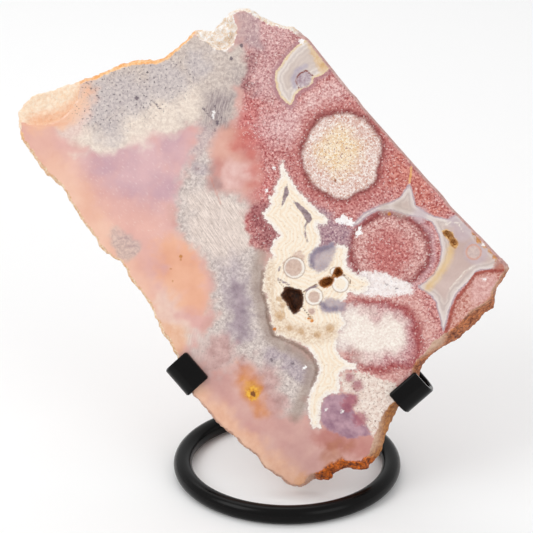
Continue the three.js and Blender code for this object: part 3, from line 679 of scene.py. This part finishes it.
# %% Glazes of the crimson quartz
FIELDS += [
    ("crimson", 0, "943638", "E8ACA6", "sugar", 2, 4, 1),
    ("rose_top", 0, "9C585C", "E6BAB4", "sugar", 8, 5, 0.9),
    ("hot_red", 0, "AA4242", "DC8A86", "sugar", 8, 5, 0.85),
    ("bright_right", 0, "BE7C7C", "FADED8", "sugar", 7, 5, 0.8),
    ("salmon_right", 0, "A43C32", "E29888", "sugar", 7, 5, 0.8),
    ("dark_mauve", 0, "702E38", "B07070", "sugar", 5, 4, 0.8),
    ("dark_top", 0, "6A323A", "B47A7A", "sugar", 4, 5, 0.8),
    ("pale_sparkle", 0, "B47A7E", "F0CCCA", "sugar", 8, 5, 0.5),
    ("salmon_lobes", 0, "C6847A", "DCA598", "clouds", 6, 3, 0.95),
    ("lobe_orange", 0, "D89E8C", "E2B0A0", "clouds", 6, 3, 0.8),
    ("salmon_pale", 0, "DCACA4", "EAC6C0", "mottle", 6, 4, 0.9),
    ("lobe_red", 0, "C4625A", "D47C70", "mottle", 6, 4, 0.75),
    ("lobe_dusk", 0, "A07E7C", "B89490", "mottle", 4, 3, 0.7),
    ("mauve_crown", 0, "9A7C86", "D8C0BC", "moss", 4, 4, 0.7),
]
print(len(FIELDS), "soft glazes")

# %% [markdown]
# The moss and the stained foot are glazed in the same way. An orb is two or three glazes on one
# outline, each starting further in: a rosy halo, a dark ring and the pale inside, with a disc for its
# heart. Rings with outlines of their own could cross each other, and these can't.

# %% Glazes of the moss, the orbs and the foot
FIELDS += [
    ("moss", 0, "B7A69F", "DED0C6", "moss", 3.5, 4, 1),
    ("moss_cream", 0, "E0CEC0", "F6E8DA", "moss", 7, 5, 0.9),
    ("moss_blue", 0, "B6ACB0", "D6CCCA", "moss", 8, 5, 0.65),
    ("moss_left", 0, "DDBCB2", "ECD2C8", "moss", 6, 4, 0.85),
    ("dish_glow", 0, "EFB592", "F4C6A6", "clouds", 5, 3, 0.85),
    ("dark_fibres", 0, "6A5A66", "C4B4B0", "down_fibres", 9, 5, 0.8),
    ("orange_zone", 0, "CC7C48", "DC945E", "mottle", 6, 4, 0.85),
    ("orange_core", 0, "C8802C", "E0A050", "mottle", 3, 4, 0.9),
    ("orb_3_halo", 0, "C07C78", "E8BEB4", "sugar", 4, 3, 0.8),
    ("orb_1", 0, "A04442", "D48E88", "sugar", 6, 3, 0.85),
    ("orb_1", 3.1, "6A1C1E", "9A4442", "sugar", 3, 1.4, 0.95),
    ("orb_1", 5, "C8907E", "FFFAF4", "sugar", 2, 1.4, 1),
    ("orb_1_heart", 0, "E4BC80", "FFF8E4", "sugar", 9, 4, 0.8),
    ("orb_2", 0, "B5828A", "D9B2B2", "sugar", 3, 2, 0.85),
    ("orb_2", 2.2, "72181C", "9E3E3C", "sugar", 2.4, 1, 0.95),
    ("orb_2", 4.6, "A65856", "F0C6BE", "sugar", 2.8, 1.2, 0.95),
    ("orb_2_heart", 0, "9C3C3C", "D4827C", "sugar", 8, 3, 0.85),
    ("orb_3", 0, "88262A", "B04C4C", "sugar", 3, 2, 0.95),
    ("orb_3", 3.2, "A05C64", "E6BAB8", "sugar", 5, 3, 0.95),
    ("orb_3_left", 0, "CDB4B4", "F4EAE2", "sugar", 4, 3, 0.9),
    ("orb_3_heart", 0, "EADACE", "FEF8EE", "sugar", 9, 5, 0.95),
    ("mauve_gap", 0, "7E5C70", "C5A6AA", "sugar", 4, 4, 0.85),
    ("foot_rose", 0, "B56E66", "C98A80", "clouds", 5, 4, 0.8),
    ("foot_rust", 0, "9E5634", "B87248", "mottle", 5, 4, 0.6),
    ("crust_patch", 0, "662000", "EC8214", "moss", 1.6, 2.5, 1),
    ("tip_orange", 0, "DD9A68", "E3AC84", "grain", 3, 2, 0.7),
]
print(len(FIELDS), "soft glazes")

# %% [markdown]
# The rind is weathered differently on each side. It is yellow and glowing where the rim is thin, white
# with crystals in the notch, and rusty with iron at the foot and the right. Each side gets two colours
# and a reach, which is how far it laps over the edge of the polish. Besides the rind's own tones, the
# first colour carries painted shade for the hollows of its grain, and the second painted light for the
# tops.

# %% Colours of the rind and the vugs
# side of the stone, reach over the polish (mm), first colour with painted shade, second colour with
# painted light, softness (mm)
RIND = [
    ("lower_left", 0.3, "C08A78", "E0B59C", 6),
    ("sawn_side", 0.2, "C9A090", "EADCD0", 3),
    ("left", 0.5, "DCA068", "F8E2C6", 8),
    ("upper_left", 0.6, "EE9C48", "FAD2A0", 4),
    ("dish", 0.2, "F6D2B0", "FEECD6", 3),
    ("dish_glow", 0.2, "F0B088", "F6C6A4", 6),
    ("notch", 0.4, "E4C4A0", "FFFFFF", 4),
    ("right_bevel", 0.6, "824010", "CC8840", 4),
    ("lower_right", 0.8, "5A1A06", "D8834C", 3),
    ("crust", 1.2, "480C00", "EC7600", 2),
    ("lens_vug", 0.4, "A45C18", "FFD896", 1),
    ("brown_vug", 0.5, "6A3008", "C88038", 1),
    ("dark_vug", 0.6, "2A1006", "6E3C1A", 1),
    ("orange_pit", 1.0, "7A4408", "E8AC30", 1),
]
print(len(RIND), "sides of the rind")

# %% [markdown]
# Each soft glaze moves the two colours of a point towards its own by its share there, and likewise the
# amount of each pattern. Noise a centimetre wide bends the borders and a finer one frays them. Without
# it the outlines drawn above would show.

# %% Paint the soft glazes on the points
# size (mm), layers and strength of the noise that bends a border, and of the one that frays it
BEND = (9, 2, 0.8)
FRAY = (3, 3, 0.45)
NOISE_FALLOFF, NOISE_STEP = 1, 2

def noise_at_points(size, layers, strength):
    heights = [noise.fractal(Vector(p) / size, NOISE_FALLOFF, NOISE_STEP, layers) for p in at]
    return np.array(heights) * strength

def step_up(distance, start, softness):
    share = np.clip((distance - start) / softness + 0.5, 0, 1)
    return share * share * (3 - 2 * share)

def both(dark, light):
    return np.array(colour(dark)[:3] + colour(light)[:3])

PAINTED = ["clouds", "mottle", "grain", "moss", "sugar", "fibres", "down_fibres"]
uneven = noise_at_points(*BEND) + noise_at_points(*FRAY)
tints = np.tile(both("CF9A92", "DDB3A8"), (len(at), 1))
amounts = np.zeros((len(at), len(PAINTED)))
amounts[:, 0] = 1
for name, start, dark, light, pattern, softness, raggedness, cover in FIELDS:
    share = cover * step_up(PLACES[name] + raggedness * uneven, start, softness)[:, None]
    tints += share * (both(dark, light) - tints)
    amounts += share * (np.eye(len(PAINTED))[PAINTED.index(pattern)] - amounts)
print("mean amount of each pattern:", dict(zip(PAINTED, amounts.mean(axis=0).round(2).tolist())))

# %% [markdown]
# The rind's colours are painted the same way. Along the sawn edge the cut goes through the same
# minerals as the face, only dulled by saw marks, so the face's own tints are kept there and greyed a
# little.

# %% Paint the rind on the points
OVER_THE_EDGE = 0.2
SAW_DULL = 0.35
saw_dust = both("D8C4BA", "D8C4BA")
rind_tints_with_painted_shading = np.tile(both("C99A80", "E0BFA6"), (len(at), 1))
sawn_tints = tints + SAW_DULL * (saw_dust - tints)
reach = np.full(len(at), OVER_THE_EDGE)
for name, over, dark, light, softness in RIND:
    share = step_up(PLACES[name], 0, softness)
    side_tints = sawn_tints if name == "sawn_side" else both(dark, light)
    rind_tints_with_painted_shading += share[:, None] * (side_tints - rind_tints_with_painted_shading)
    reach += share * (over - reach)
print("rind reaches", reach.min().round(2), "to", reach.max().round(2), "mm over the edge")

# %% [markdown]
# The paint has to reach the shader. A texture would need an unwrapped surface, but colour and number
# attributes of the points need none.

# %% Store the paint on the mesh
def store_colour(name, values):
    whole = np.ones((len(at), 4), np.float32)
    whole[:, :3] = values
    stone.data.attributes.new(name, "FLOAT_COLOR", "POINT").data.foreach_set("color", whole.ravel())

store_colour("dark_tint", tints[:, :3])
store_colour("light_tint", tints[:, 3:])
# the rind's first colour carries painted shade for the hollows of its grain, the second painted light
# for the tops
store_colour("rind_dark_with_painted_shade", rind_tints_with_painted_shading[:, :3])
store_colour("rind_light_with_painted_light", rind_tints_with_painted_shading[:, 3:])
for pattern, amount in zip(PAINTED, amounts.T):
    store(stone.data, "amount_of_" + pattern, amount)
store(stone.data, "rind", off_polish + reach)
print(len(FIELDS), "fields and", len(RIND), "sides of the rind painted")

# %% [markdown]
# Agate, cream and small marks have sharp borders, finer than the mesh. Their glazes are left to the
# shader, which works out the border for each pixel from the stored distance.

# %% Crisp glazes of the agate and the wedge
# place, start inside (mm), first colour, second colour, pattern, softness (mm), raggedness (mm), cover
CRISP = [
    ("corner_rim", 0, "E8A888", "F2BE9E", "clouds", 0.8, 0.6, 0.5),
    # the first agate_c glaze, a dark lilac band just outside the hook, is painted shade
    ("agate_c", -1.6, "9A6A74", "B98A90", "grain", 2, 1.6, 0.7),
    ("agate_c", 0, "E0C49A", "EBD9BC", "grain", 0.4, 1, 1),
    ("agate_c", 0.9, "D2C4BE", "E6DAD2", "bands", 0.8, 1.6, 1),
    ("agate_c", 3.4, "C4B2A8", "D8C8C0", "clouds", 2.4, 2, 0.7),
    ("pocket_halo", 0, "A89CB0", "C6BCC4", "mottle", 1.8, 1, 0.75),
    ("agate_arm", 0, "D2A468", "ECD8BC", "mottle", 2, 2.4, 0.9),
    ("agate_pocket", 0.3, "9A7C8A", "D0C2C6", "grain", 1.2, 1.6, 0.95),
    ("pocket_line", 0, "6E2A22", "8E4438", "grain", 0.4, 0.5, 0.95),
    ("grey_agate", 0, "AE9AA4", "C4B4B8", "grain", 0.5, 0.9, 0.9),
    ("grey_agate", 0.6, "DDD0CC", "E6DAD4", "clouds", 0.5, 0.9, 0.95),
    ("grey_agate", 1.5, "C6B4AE", "D8C8C0", "bands", 1.2, 0.9, 0.95),
    ("grey_agate", 3.4, "C0A49C", "D4BCB4", "clouds", 2.5, 1.2, 0.9),
    ("agate_lilac", 0, "BFAAB2", "CDBCC0", "mottle", 3, 1.5, 0.7),
    ("agate_taupe", 0, "B4A094", "CCBAB0", "mottle", 3, 1, 0.5),
    ("agate_yellow", 0, "E0B878", "E8CC9C", "clouds", 3, 1.5, 0.75),
    ("pale_arc", 0, "E8DCD0", "F0E6DC", "grain", 0.5, 0.8, 0.8),
    ("agate_eye", 0, "CF8E74", "DBA58E", "grain", 0.6, 0.6, 0.7),
    ("agate_eye", 0.8, "C6B0AC", "D8C4BC", "grain", 0.8, 0.6, 0.9),
    ("edge_rust", 0, "A85A1C", "E0A050", "grain", 1, 2.4, 0.9),
    ("orange_vein", 0, "E0A050", "E8BC80", "grain", 0.4, 0.5, 0.8),
    ("right_corner", 0, "A8604E", "C48874", "grain", 1.5, 2, 0.8),
    ("red_wedge", 0, "8C3A30", "B0584A", "grain", 0.5, 1.4, 1),
    ("red_wedge", 1.4, "AE5E50", "E8BCB0", "sugar", 1.2, 2, 0.95),
    ("wedge_pale", 0, "C88C88", "F0CCC6", "grain", 3, 3, 0.7),
    ("wedge_brown", 0, "9C4428", "E29C7A", "moss", 4, 4, 0.75),
]
print(len(CRISP), "crisp glazes")

# %% [markdown]
# The cream chalcedony has a thin white skin over a warm, faintly banded body. So its outline carries
# three glazes, and so does that of each round lobe. The slits, cracks and dots lie on top, and come
# last.

# %% Crisp glazes of the cream and the small marks
CRISP += [
    ("white_fuzz", 0, "EADDD8", "FFFAF8", "grain", 1.5, 4, 0.95),
    ("cream_shadow", 0, "947E74", "B29E92", "mottle", 4, 2, 0.75),
    ("shadow_core", 0, "6E5648", "8E7464", "grain", 1.2, 1.2, 0.8),
    ("cream_speckled", 0, "D8BEB0", "FAF0E6", "moss", 1, 4, 0.95),
    ("lilac", 0, "8E667C", "BE98A4", "mottle", 1.5, 2.5, 0.95),
    ("deep_rose", 0, "94485A", "B46A74", "mottle", 2.5, 4, 0.8),
    ("cream", -0.6, "A08480", "D8C8C4", "fine", 1.4, 2.6, 0.5),
    ("cream", 0, "F0E4DA", "FCF6EE", "grain", 0.3, 2.6, 1),
    ("cream", 1.2, "F5E0C4", "FAEEDC", "bands", 1.4, 2, 0.85),
    ("cream_fringe", 0, "C8A078", "F8EAD6", "moss", 2.5, 3, 0.7),
    ("cream_pinkish", 0, "BE9686", "E4CCBC", "grain", 1.2, 2.4, 0.85),
    ("cream_tan", 0, "B08050", "DDB88C", "grain", 1.2, 2.6, 0.7),
    ("cream_lobes", 0, "A08878", "C4AC9C", "fine", 0.4, 0.5, 0.7),
    ("cream_lobes", 0.45, "F6EEE4", "FCF8F2", "clouds", 0.5, 0.5, 0.9),
    ("cream_lobes", 1.5, "F0D8B8", "F8E8D0", "clouds", 0.8, 0.5, 0.7),
    ("pinkish_cores", 0, "BC9A8E", "D8BEB0", "grain", 0.8, 1, 0.85),
    ("cream_grey", 0, "9B8C9A", "C1B0B2", "mottle", 2, 2, 0.9),
    ("cream_dusk", 0, "6E6076", "8E849A", "mottle", 1.6, 1.6, 0.8),
    ("brown_crack", 0, "4A2A14", "7A4A22", "grain", 0.4, 0.6, 0.9),
    ("cream_slits", 0, "6E5A64", "A48E94", "grain", 0.5, 0.7, 0.95),
    ("white_sparks", 0, "F4ECE8", "FFFFFF", "grain", 0.5, 3, 0.95),
    ("red_line", 0, "C07060", "CC8474", "grain", 0.5, 0.3, 0.4),
    ("orange_grain", 0, "C06A14", "E89A30", "grain", 0.4, 1, 0.95),
    ("orange_dots", 0, "B8702C", "C8843C", "grain", 0.4, 0.4, 0.9),
    ("pit_rim", 0, "D07C14", "F8C444", "grain", 1.4, 2.4, 0.95),
    ("pit_heart", 0, "5A2606", "8A4A10", "grain", 0.5, 0.8, 0.95),
    ("rust_dot", 0, "7A3C14", "A05A28", "grain", 0.4, 0.8, 0.9),
    ("dark_marks", 0, "4E4250", "6E5C66", "grain", 0.6, 2, 0.85),
]
print(len(CRISP), "crisp glazes")

# %% [markdown]
# Under the crisp glazes lies the painted ground. The shader adds up the patterns by the amounts that
# each point has of them, and mixes the point's two colours by the sum. A switch between whole
# materials would do it too, but it would show hard borders where minerals run into each other.

# %% The painted ground
uneven_edge = add(quartz, "ShaderNodeMath", {"operation": "SUBTRACT"}, {
    0: PATTERNS["ragged_edge"], 1: 0.5}).outputs[0]
ground_pattern = 0.0
for pattern in PAINTED:
    amount = add(quartz, "ShaderNodeAttribute", {
        "attribute_name": "amount_of_" + pattern}).outputs["Fac"]
    ground_pattern = add(quartz, "ShaderNodeMath", {"operation": "MULTIPLY_ADD"}, {
        0: PATTERNS[pattern], 1: amount, 2: ground_pattern}).outputs[0]
ground_dark = add(quartz, "ShaderNodeAttribute", {"attribute_name": "dark_tint"}).outputs["Color"]
ground_light = add(quartz, "ShaderNodeAttribute", {"attribute_name": "light_tint"}).outputs["Color"]
ground = add(quartz, "ShaderNodeMix", {"data_type": "RGBA"}, {
    0: ground_pattern, 6: ground_dark, 7: ground_light}).outputs[2]
print("ground mixed from", len(PAINTED), "patterns")

# %% [markdown]
# Agate bands follow the wall of the pocket that they grew in, so they are a sine of the distance to its
# outline. A glaze covers what lies below it where its distance, made uneven by noise, passes its start.
# Scattered marks need no such crisp border, because their pattern already breaks it up.

# %% Bands, borders and glazes
# all in millimetres
BAND_PERIOD = 1.7
BAND_BEND = 1.3
MARKS_RAGGED = 2

def banded(distance):
    bent = add(quartz, "ShaderNodeMath", {"operation": "MULTIPLY_ADD"}, {
        0: PATTERNS["mottle"], 1: BAND_BEND, 2: distance}).outputs[0]
    turns = add(quartz, "ShaderNodeMath", {"operation": "MULTIPLY"}, {
        0: bent, 1: 2 * math.pi / BAND_PERIOD}).outputs[0]
    wave = add(quartz, "ShaderNodeMath", {"operation": "SINE"}, {0: turns}).outputs[0]
    return add(quartz, "ShaderNodeMapRange", inputs={"Value": wave, "From Min": -1}).outputs["Result"]

def border(distance, start, softness, raggedness, cover):
    uneven = add(quartz, "ShaderNodeMath", {"operation": "MULTIPLY_ADD"}, {
        0: uneven_edge, 1: raggedness, 2: distance}).outputs[0]
    return add(quartz, "ShaderNodeMapRange", {"interpolation_type": "SMOOTHSTEP"}, {
        "Value": uneven, "From Min": start - softness / 2, "From Max": start + softness / 2,
        "To Max": cover}).outputs["Result"]

def lay_glaze(below, name, start, dark, light, pattern, softness, raggedness, cover):
    distance = add(quartz, "ShaderNodeAttribute", {"attribute_name": name}).outputs["Fac"]
    mixer = banded(distance) if pattern == "bands" else PATTERNS[pattern]
    glaze = add(quartz, "ShaderNodeMix", {"data_type": "RGBA"}, {
        0: mixer, 6: colour(dark), 7: colour(light)}).outputs[2]
    share = border(distance, start, softness, raggedness, cover)
    return add(quartz, "ShaderNodeMix", {"data_type": "RGBA"}, {
        0: share, 6: below, 7: glaze}).outputs[2]

def scatter(below, name, tint, pattern, softness, cover):
    distance = add(quartz, "ShaderNodeAttribute", {"attribute_name": name}).outputs["Fac"]
    share = add(quartz, "ShaderNodeMath", {"operation": "MULTIPLY"}, {
        0: border(distance, 0, softness, MARKS_RAGGED, cover), 1: PATTERNS[pattern]}).outputs[0]
    return add(quartz, "ShaderNodeMix", {"data_type": "RGBA"}, {
        0: share, 6: below, 7: colour(tint)}).outputs[2]

print("agate bands", BAND_PERIOD, "mm apart")

# %% [markdown]
# Small marks are scattered under the crisp bodies and over them: dark mineral specks in the moss,
# sparkles in the crimson quartz, pale flecks in the chalcedony, rust in the orb. Modelling each one
# would take thousands of shapes, so a pattern that is high only in spots does it.

# %% Marks and glazes in order
# place, colour, pattern, softness (mm), cover
UNDER_MARKS = [
    ("moss_specks", "4E4650", "specks", 12, 0.8),
    ("grey_band", "7A6864", "specks", 8, 0.3),
    ("crimson", "FFEEE8", "sparkle", 8, 0.4),
    ("flecks", "F8ECE6", "scratches", 12, 0.5),
    ("orb_1_heart", "8E4A1C", "specks", 14, 0.8),
    ("orb_1", "A45848", "specks", 12, 0.75),
]
OVER_MARKS = [
    ("white_fuzz", "8E7A88", "specks", 4, 0.4),
    ("cream_speckled", "7E4A34", "specks", 3, 0.75),
    ("cream", "C09468", "specks", 2, 0.35),
]
for name in sorted({row[0] for row in UNDER_MARKS + CRISP + OVER_MARKS}):
    store(stone.data, name, PLACES[name])
surface = ground
for mark in UNDER_MARKS:
    surface = scatter(surface, *mark)
for glaze in CRISP:
    surface = lay_glaze(surface, *glaze)
for mark in OVER_MARKS:
    surface = scatter(surface, *mark)
print(len(quartz.nodes), "nodes")

# %% [markdown]
# Where the polish ends, the rind's colours take over, and the stone is rough. A fine bump stands
# for grains smaller than the mesh, on the rind and in the vugs only, because the polish is flat. The
# same moss pattern mixes the rind's two colours, so besides its own tones the rind gets painted shade
# in the hollows of the grain and painted light on its tops.

# %% The rind and the gloss
POLISH_ROUGHNESS = 0.16
RIND_ROUGHNESS = 0.6
RIND_SOFT, RIND_RAGGED = 0.7, 1.2
QUARTZ_IOR = 1.54
GRIT_BUMP, GRIT_HEIGHT = 0.5, 0.3 * MM
rind_edge = add(quartz, "ShaderNodeAttribute", {"attribute_name": "rind"}).outputs["Fac"]
rind_dark_with_painted_shade = add(quartz, "ShaderNodeAttribute", {"attribute_name": "rind_dark_with_painted_shade"}).outputs["Color"]
rind_light_with_painted_light = add(quartz, "ShaderNodeAttribute", {"attribute_name": "rind_light_with_painted_light"}).outputs["Color"]
# the moss pattern that raises the bump also mixes these colours: painted shade in hollows, painted
# light on tops
rind_colour_with_painted_shading = add(quartz, "ShaderNodeMix", {"data_type": "RGBA"}, {
    0: PATTERNS["moss"], 6: rind_dark_with_painted_shade, 7: rind_light_with_painted_light}).outputs[2]
surface = add(quartz, "ShaderNodeMix", {"data_type": "RGBA"}, {
    0: border(rind_edge, 0, RIND_SOFT, RIND_RAGGED, 1), 6: surface, 7: rind_colour_with_painted_shading}).outputs[2]
quartz.links.new(surface, shader.inputs["Base Color"])
matte = add(quartz, "ShaderNodeAttribute", {"attribute_name": "matte"}).outputs["Fac"]
gloss = add(quartz, "ShaderNodeMapRange", inputs={
    "Value": matte, "To Min": POLISH_ROUGHNESS, "To Max": RIND_ROUGHNESS}).outputs["Result"]
quartz.links.new(gloss, shader.inputs["Roughness"])
shader.inputs["IOR"].default_value = QUARTZ_IOR
relief = add(quartz, "ShaderNodeMath", {"operation": "MULTIPLY"}, {
    0: PATTERNS["moss"], 1: matte}).outputs[0]
bump = add(quartz, "ShaderNodeBump", inputs={
    "Height": relief, "Strength": GRIT_BUMP, "Distance": GRIT_HEIGHT}).outputs["Normal"]
quartz.links.new(bump, shader.inputs["Normal"])
print("roughness", POLISH_ROUGHNESS, "on the polish,", RIND_ROUGHNESS, "on the rind")

# %% [markdown]
# The finished stone takes the place of its plain solid. Its points are turned back from the face's axes
# to the frame, rather than the object, so the piece sits at the origin and rests in the hooks as the
# solid does.

# %% Put the stone in its place
stone.data.transform(from_face)
stone.data.materials.clear()
stone.data.materials.append(polished_quartz)
stone.data.shade_smooth()
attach(stone, "root")
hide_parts("slab")
print("stone:", len(stone.data.polygons), "faces")

# %% [markdown]
# The stand is mild steel rod and strap, sprayed with black powder and baked. The powder melts to a
# satin skin with a faint orange peel about a millimetre across. To the eye that is near black, with
# soft but clear reflections along the bends. It could be one flat colour, but then the rod would look
# like plastic. One noise of the peel's size moves the colour, the gloss and the bump together. The
# specular level is set below the usual one, because the tent would otherwise veil the deep black.

# %% Black powder coat
powder_coat, coat_tree, coat = new_material("black_satin_powder_coat")
PEEL_SIZE = 1.2 * MM
PEEL_BUMP, PEEL_HEIGHT = 0.15, 0.02 * MM
COAT_SMOOTHEST, COAT_ROUGHEST = 0.18, 0.28
COAT_SPECULAR = 0.14
whole_stand = add(coat_tree, "ShaderNodeTexCoord").outputs["Object"]
peel = add(coat_tree, "ShaderNodeTexNoise", inputs={
    "Vector": whole_stand, "Scale": 1 / PEEL_SIZE, "Detail": 2}).outputs["Fac"]
black = add(coat_tree, "ShaderNodeMix", {"data_type": "RGBA"}, {
    0: peel, 6: colour("050404"), 7: colour("0B0A0A")}).outputs[2]
coat_gloss = add(coat_tree, "ShaderNodeMapRange", inputs={
    "Value": peel, "To Min": COAT_SMOOTHEST, "To Max": COAT_ROUGHEST}).outputs["Result"]
coat_bump = add(coat_tree, "ShaderNodeBump", inputs={
    "Height": peel, "Strength": PEEL_BUMP, "Distance": PEEL_HEIGHT}).outputs["Normal"]
coat_tree.links.new(black, coat.inputs["Base Color"])
coat_tree.links.new(coat_gloss, coat.inputs["Roughness"])
coat_tree.links.new(coat_bump, coat.inputs["Normal"])
coat.inputs["Specular IOR Level"].default_value = COAT_SPECULAR
print("coat near black, roughness", COAT_SMOOTHEST, "to", COAT_ROUGHEST)

# %% [markdown]
# The ring is a round steel rod, bent to a circle and closed by a weld. A torus or a bevelled curve
# would give it too, but spinning a circle of points once round the middle shows how such a form is
# made, and a plane then cuts the narrow flat on which it stands. The sizes come from the solid's box.

# %% The base ring
ring_low, ring_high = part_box("base_ring")
ring_middle = (ring_low + ring_high) / 2
ROD_FLAT = 0.25 * MM
ROD_SIDES, RING_STEPS = 32, 160
rod_radius = (ring_high.z + ROD_FLAT) / 2
bend_radius = (ring_high.x - ring_low.x) / 2 - rod_radius

def finish_piece(bm, name, material, slot_name, *nodes):
    piece = object_from(bm, name)
    piece.data.materials.append(material)
    piece.data.shade_smooth()
    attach(piece, "root")
    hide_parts(*nodes)
    return piece

ring_bm = bmesh.new()
bmesh.ops.create_circle(ring_bm, segments=ROD_SIDES, radius=rod_radius)
start = Vector((ring_middle.x + bend_radius, ring_middle.y, rod_radius - ROD_FLAT))
upright_circle = Matrix.Translation(start) @ Matrix.Rotation(math.pi / 2, 4, "X")
bmesh.ops.transform(ring_bm, matrix=upright_circle, verts=ring_bm.verts)
bmesh.ops.spin(ring_bm, geom=list(ring_bm.edges), cent=(ring_middle.x, ring_middle.y, 0),
               axis=(0, 0, 1), angle=2 * math.pi, steps=RING_STEPS, use_merge=True,
               use_normal_flip=False)
bmesh.ops.remove_doubles(ring_bm, verts=ring_bm.verts, dist=SAME_POINT)
everything = list(ring_bm.verts) + list(ring_bm.edges) + list(ring_bm.faces)
under = bmesh.ops.bisect_plane(ring_bm, geom=everything, plane_co=(0, 0, 0), plane_no=(0, 0, 1),
                               clear_inner=True)
rims = [e for e in under["geom_cut"] if isinstance(e, bmesh.types.BMEdge)]
bmesh.ops.bridge_loops(ring_bm, edges=rims)
bmesh.ops.recalc_face_normals(ring_bm, faces=ring_bm.faces)
finish_piece(ring_bm, "rod_ring", powder_coat, "black_coat", "base_ring")
print("ring", round(2 * (bend_radius + rod_radius) / MM, 1), "mm across")
print("rod", round(2 * rod_radius / MM, 2), "mm thick")

# %% [markdown]
# The upright is the same rod, and the arms are flat strap folded round the stone's edge. The solids
# already have their shape, so modelling them again would add nothing. Each is a merged copy with smooth
# shading, and only edges that turn by more than 35 degrees, the corners of the strap, stay crisp.

# %% Upright and arms
CRISP_CORNER = math.radians(35)

def smooth_copy(node_name, name):
    bm = bmesh.new()
    bm.from_mesh(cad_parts[node_name].data)
    bmesh.ops.remove_doubles(bm, verts=bm.verts, dist=SAME_POINT)
    for edge in bm.edges:
        edge.smooth = edge.calc_face_angle(0) < CRISP_CORNER
    return finish_piece(bm, name, powder_coat, "black_coat", node_name)

COPIES = [("upright", "rod_upright"), ("left_arm", "left_strap"), ("right_arm", "right_strap")]
for node_name, name in COPIES:
    piece = smooth_copy(node_name, name)
    print(name, len(piece.data.polygons), "faces")

# %% [markdown]
# The object stands on a plain white table, which isn't part of it. A grid of one face is enough, wide
# enough that its edge is out of view. Matt white paper keeps the soft shadow of the ring and little
# else.

# %% The table
HALF_TABLE = 6.0
PAPER_ROUGHNESS = 0.9
table_bm = bmesh.new()
bmesh.ops.create_grid(table_bm, x_segments=1, y_segments=1, size=HALF_TABLE)
white_table = object_from(table_bm, "white_table")
paper, _, paper_shader = new_material("matt_white_paper")
paper_shader.inputs["Base Color"].default_value = colour("F4F4F4")
paper_shader.inputs["Roughness"].default_value = PAPER_ROUGHNESS
white_table.data.materials.append(paper)
white_table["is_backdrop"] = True
print("table", 2 * HALF_TABLE, "m wide")

# %% [markdown]
# Stones are photographed in a light tent: white from all sides, with lamps outside the cloth. A white
# world gives the tent and most of the light. Two square lamps in front, the left one stronger, and one
# above the back give the forms their shade and the gloss its soft highlights. A single hard lamp would
# put one glaring spot on the polish. What lights and camera aim at is the middle of the photograph.

# %% Soft light
TENT_STRENGTH = 0.7
AIM_LEFT, AIM_HEIGHT = 9 * MM, 95.6 * MM
AIM = Vector((ring_middle.x - AIM_LEFT, ring_middle.y, AIM_HEIGHT))
world = bpy.data.worlds.new("light_tent")
world.use_nodes = True
world.node_tree.nodes["Background"].inputs["Color"].default_value = (1, 1, 1, 1)
world.node_tree.nodes["Background"].inputs["Strength"].default_value = TENT_STRENGTH
bpy.context.scene.world = world

def aim_from(offset, name, data):
    thing = new_object(name, data)
    thing.location = AIM + offset
    thing.rotation_euler = (-offset).to_track_quat("-Z", "Y").to_euler()
    return thing

# name, offset from the aim (m), side of the lamp (m), power (W)
SOFTBOXES = [
    ("left_softbox", (-0.9, -0.7, 1.0), 0.8, 6.1),
    ("right_softbox", (1.0, -0.8, 0.6), 0.8, 2.8),
    ("back_softbox", (-0.3, 0.5, 1.1), 1.0, 4.8),
]
for name, offset, side, watts in SOFTBOXES:
    lamp = bpy.data.lights.new(name, "AREA")
    lamp.size = side
    lamp.energy = watts
    aim_from(Vector(offset), name, lamp)
print(len(SOFTBOXES), "softboxes")

# %% [markdown]
# The photograph looks slightly down on the stone and a little from its right. The ring is round, so how
# flat it looks gives the camera's height, and the rest follows from where the hooks and the tip are.
# The long focal length keeps the slice's shape true.

# %% The camera
AZIMUTH, ELEVATION = math.radians(9.4), math.radians(24.3)
CAMERA_DISTANCE = 1.0
SENSOR_MM = 36
FOCAL_PIXELS, WIDTH_PIXELS = 2400, 533
camera_data = bpy.data.cameras.new("camera")
camera_data.sensor_fit = "HORIZONTAL"
camera_data.sensor_width = SENSOR_MM
camera_data.lens = SENSOR_MM * FOCAL_PIXELS / WIDTH_PIXELS
towards = Vector((math.sin(AZIMUTH) * math.cos(ELEVATION), -math.cos(AZIMUTH) * math.cos(ELEVATION),
                  math.sin(ELEVATION)))
camera = aim_from(CAMERA_DISTANCE * towards, "camera", camera_data)
bpy.context.scene.camera = camera
bpy.context.scene.view_settings.view_transform = "Standard"
print("camera at", tuple(round(c, 3) for c in camera.location))

# %% [markdown]
# The box round everything that is shown, the table left out, is measured at the end.

# %% Sizes
low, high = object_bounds()
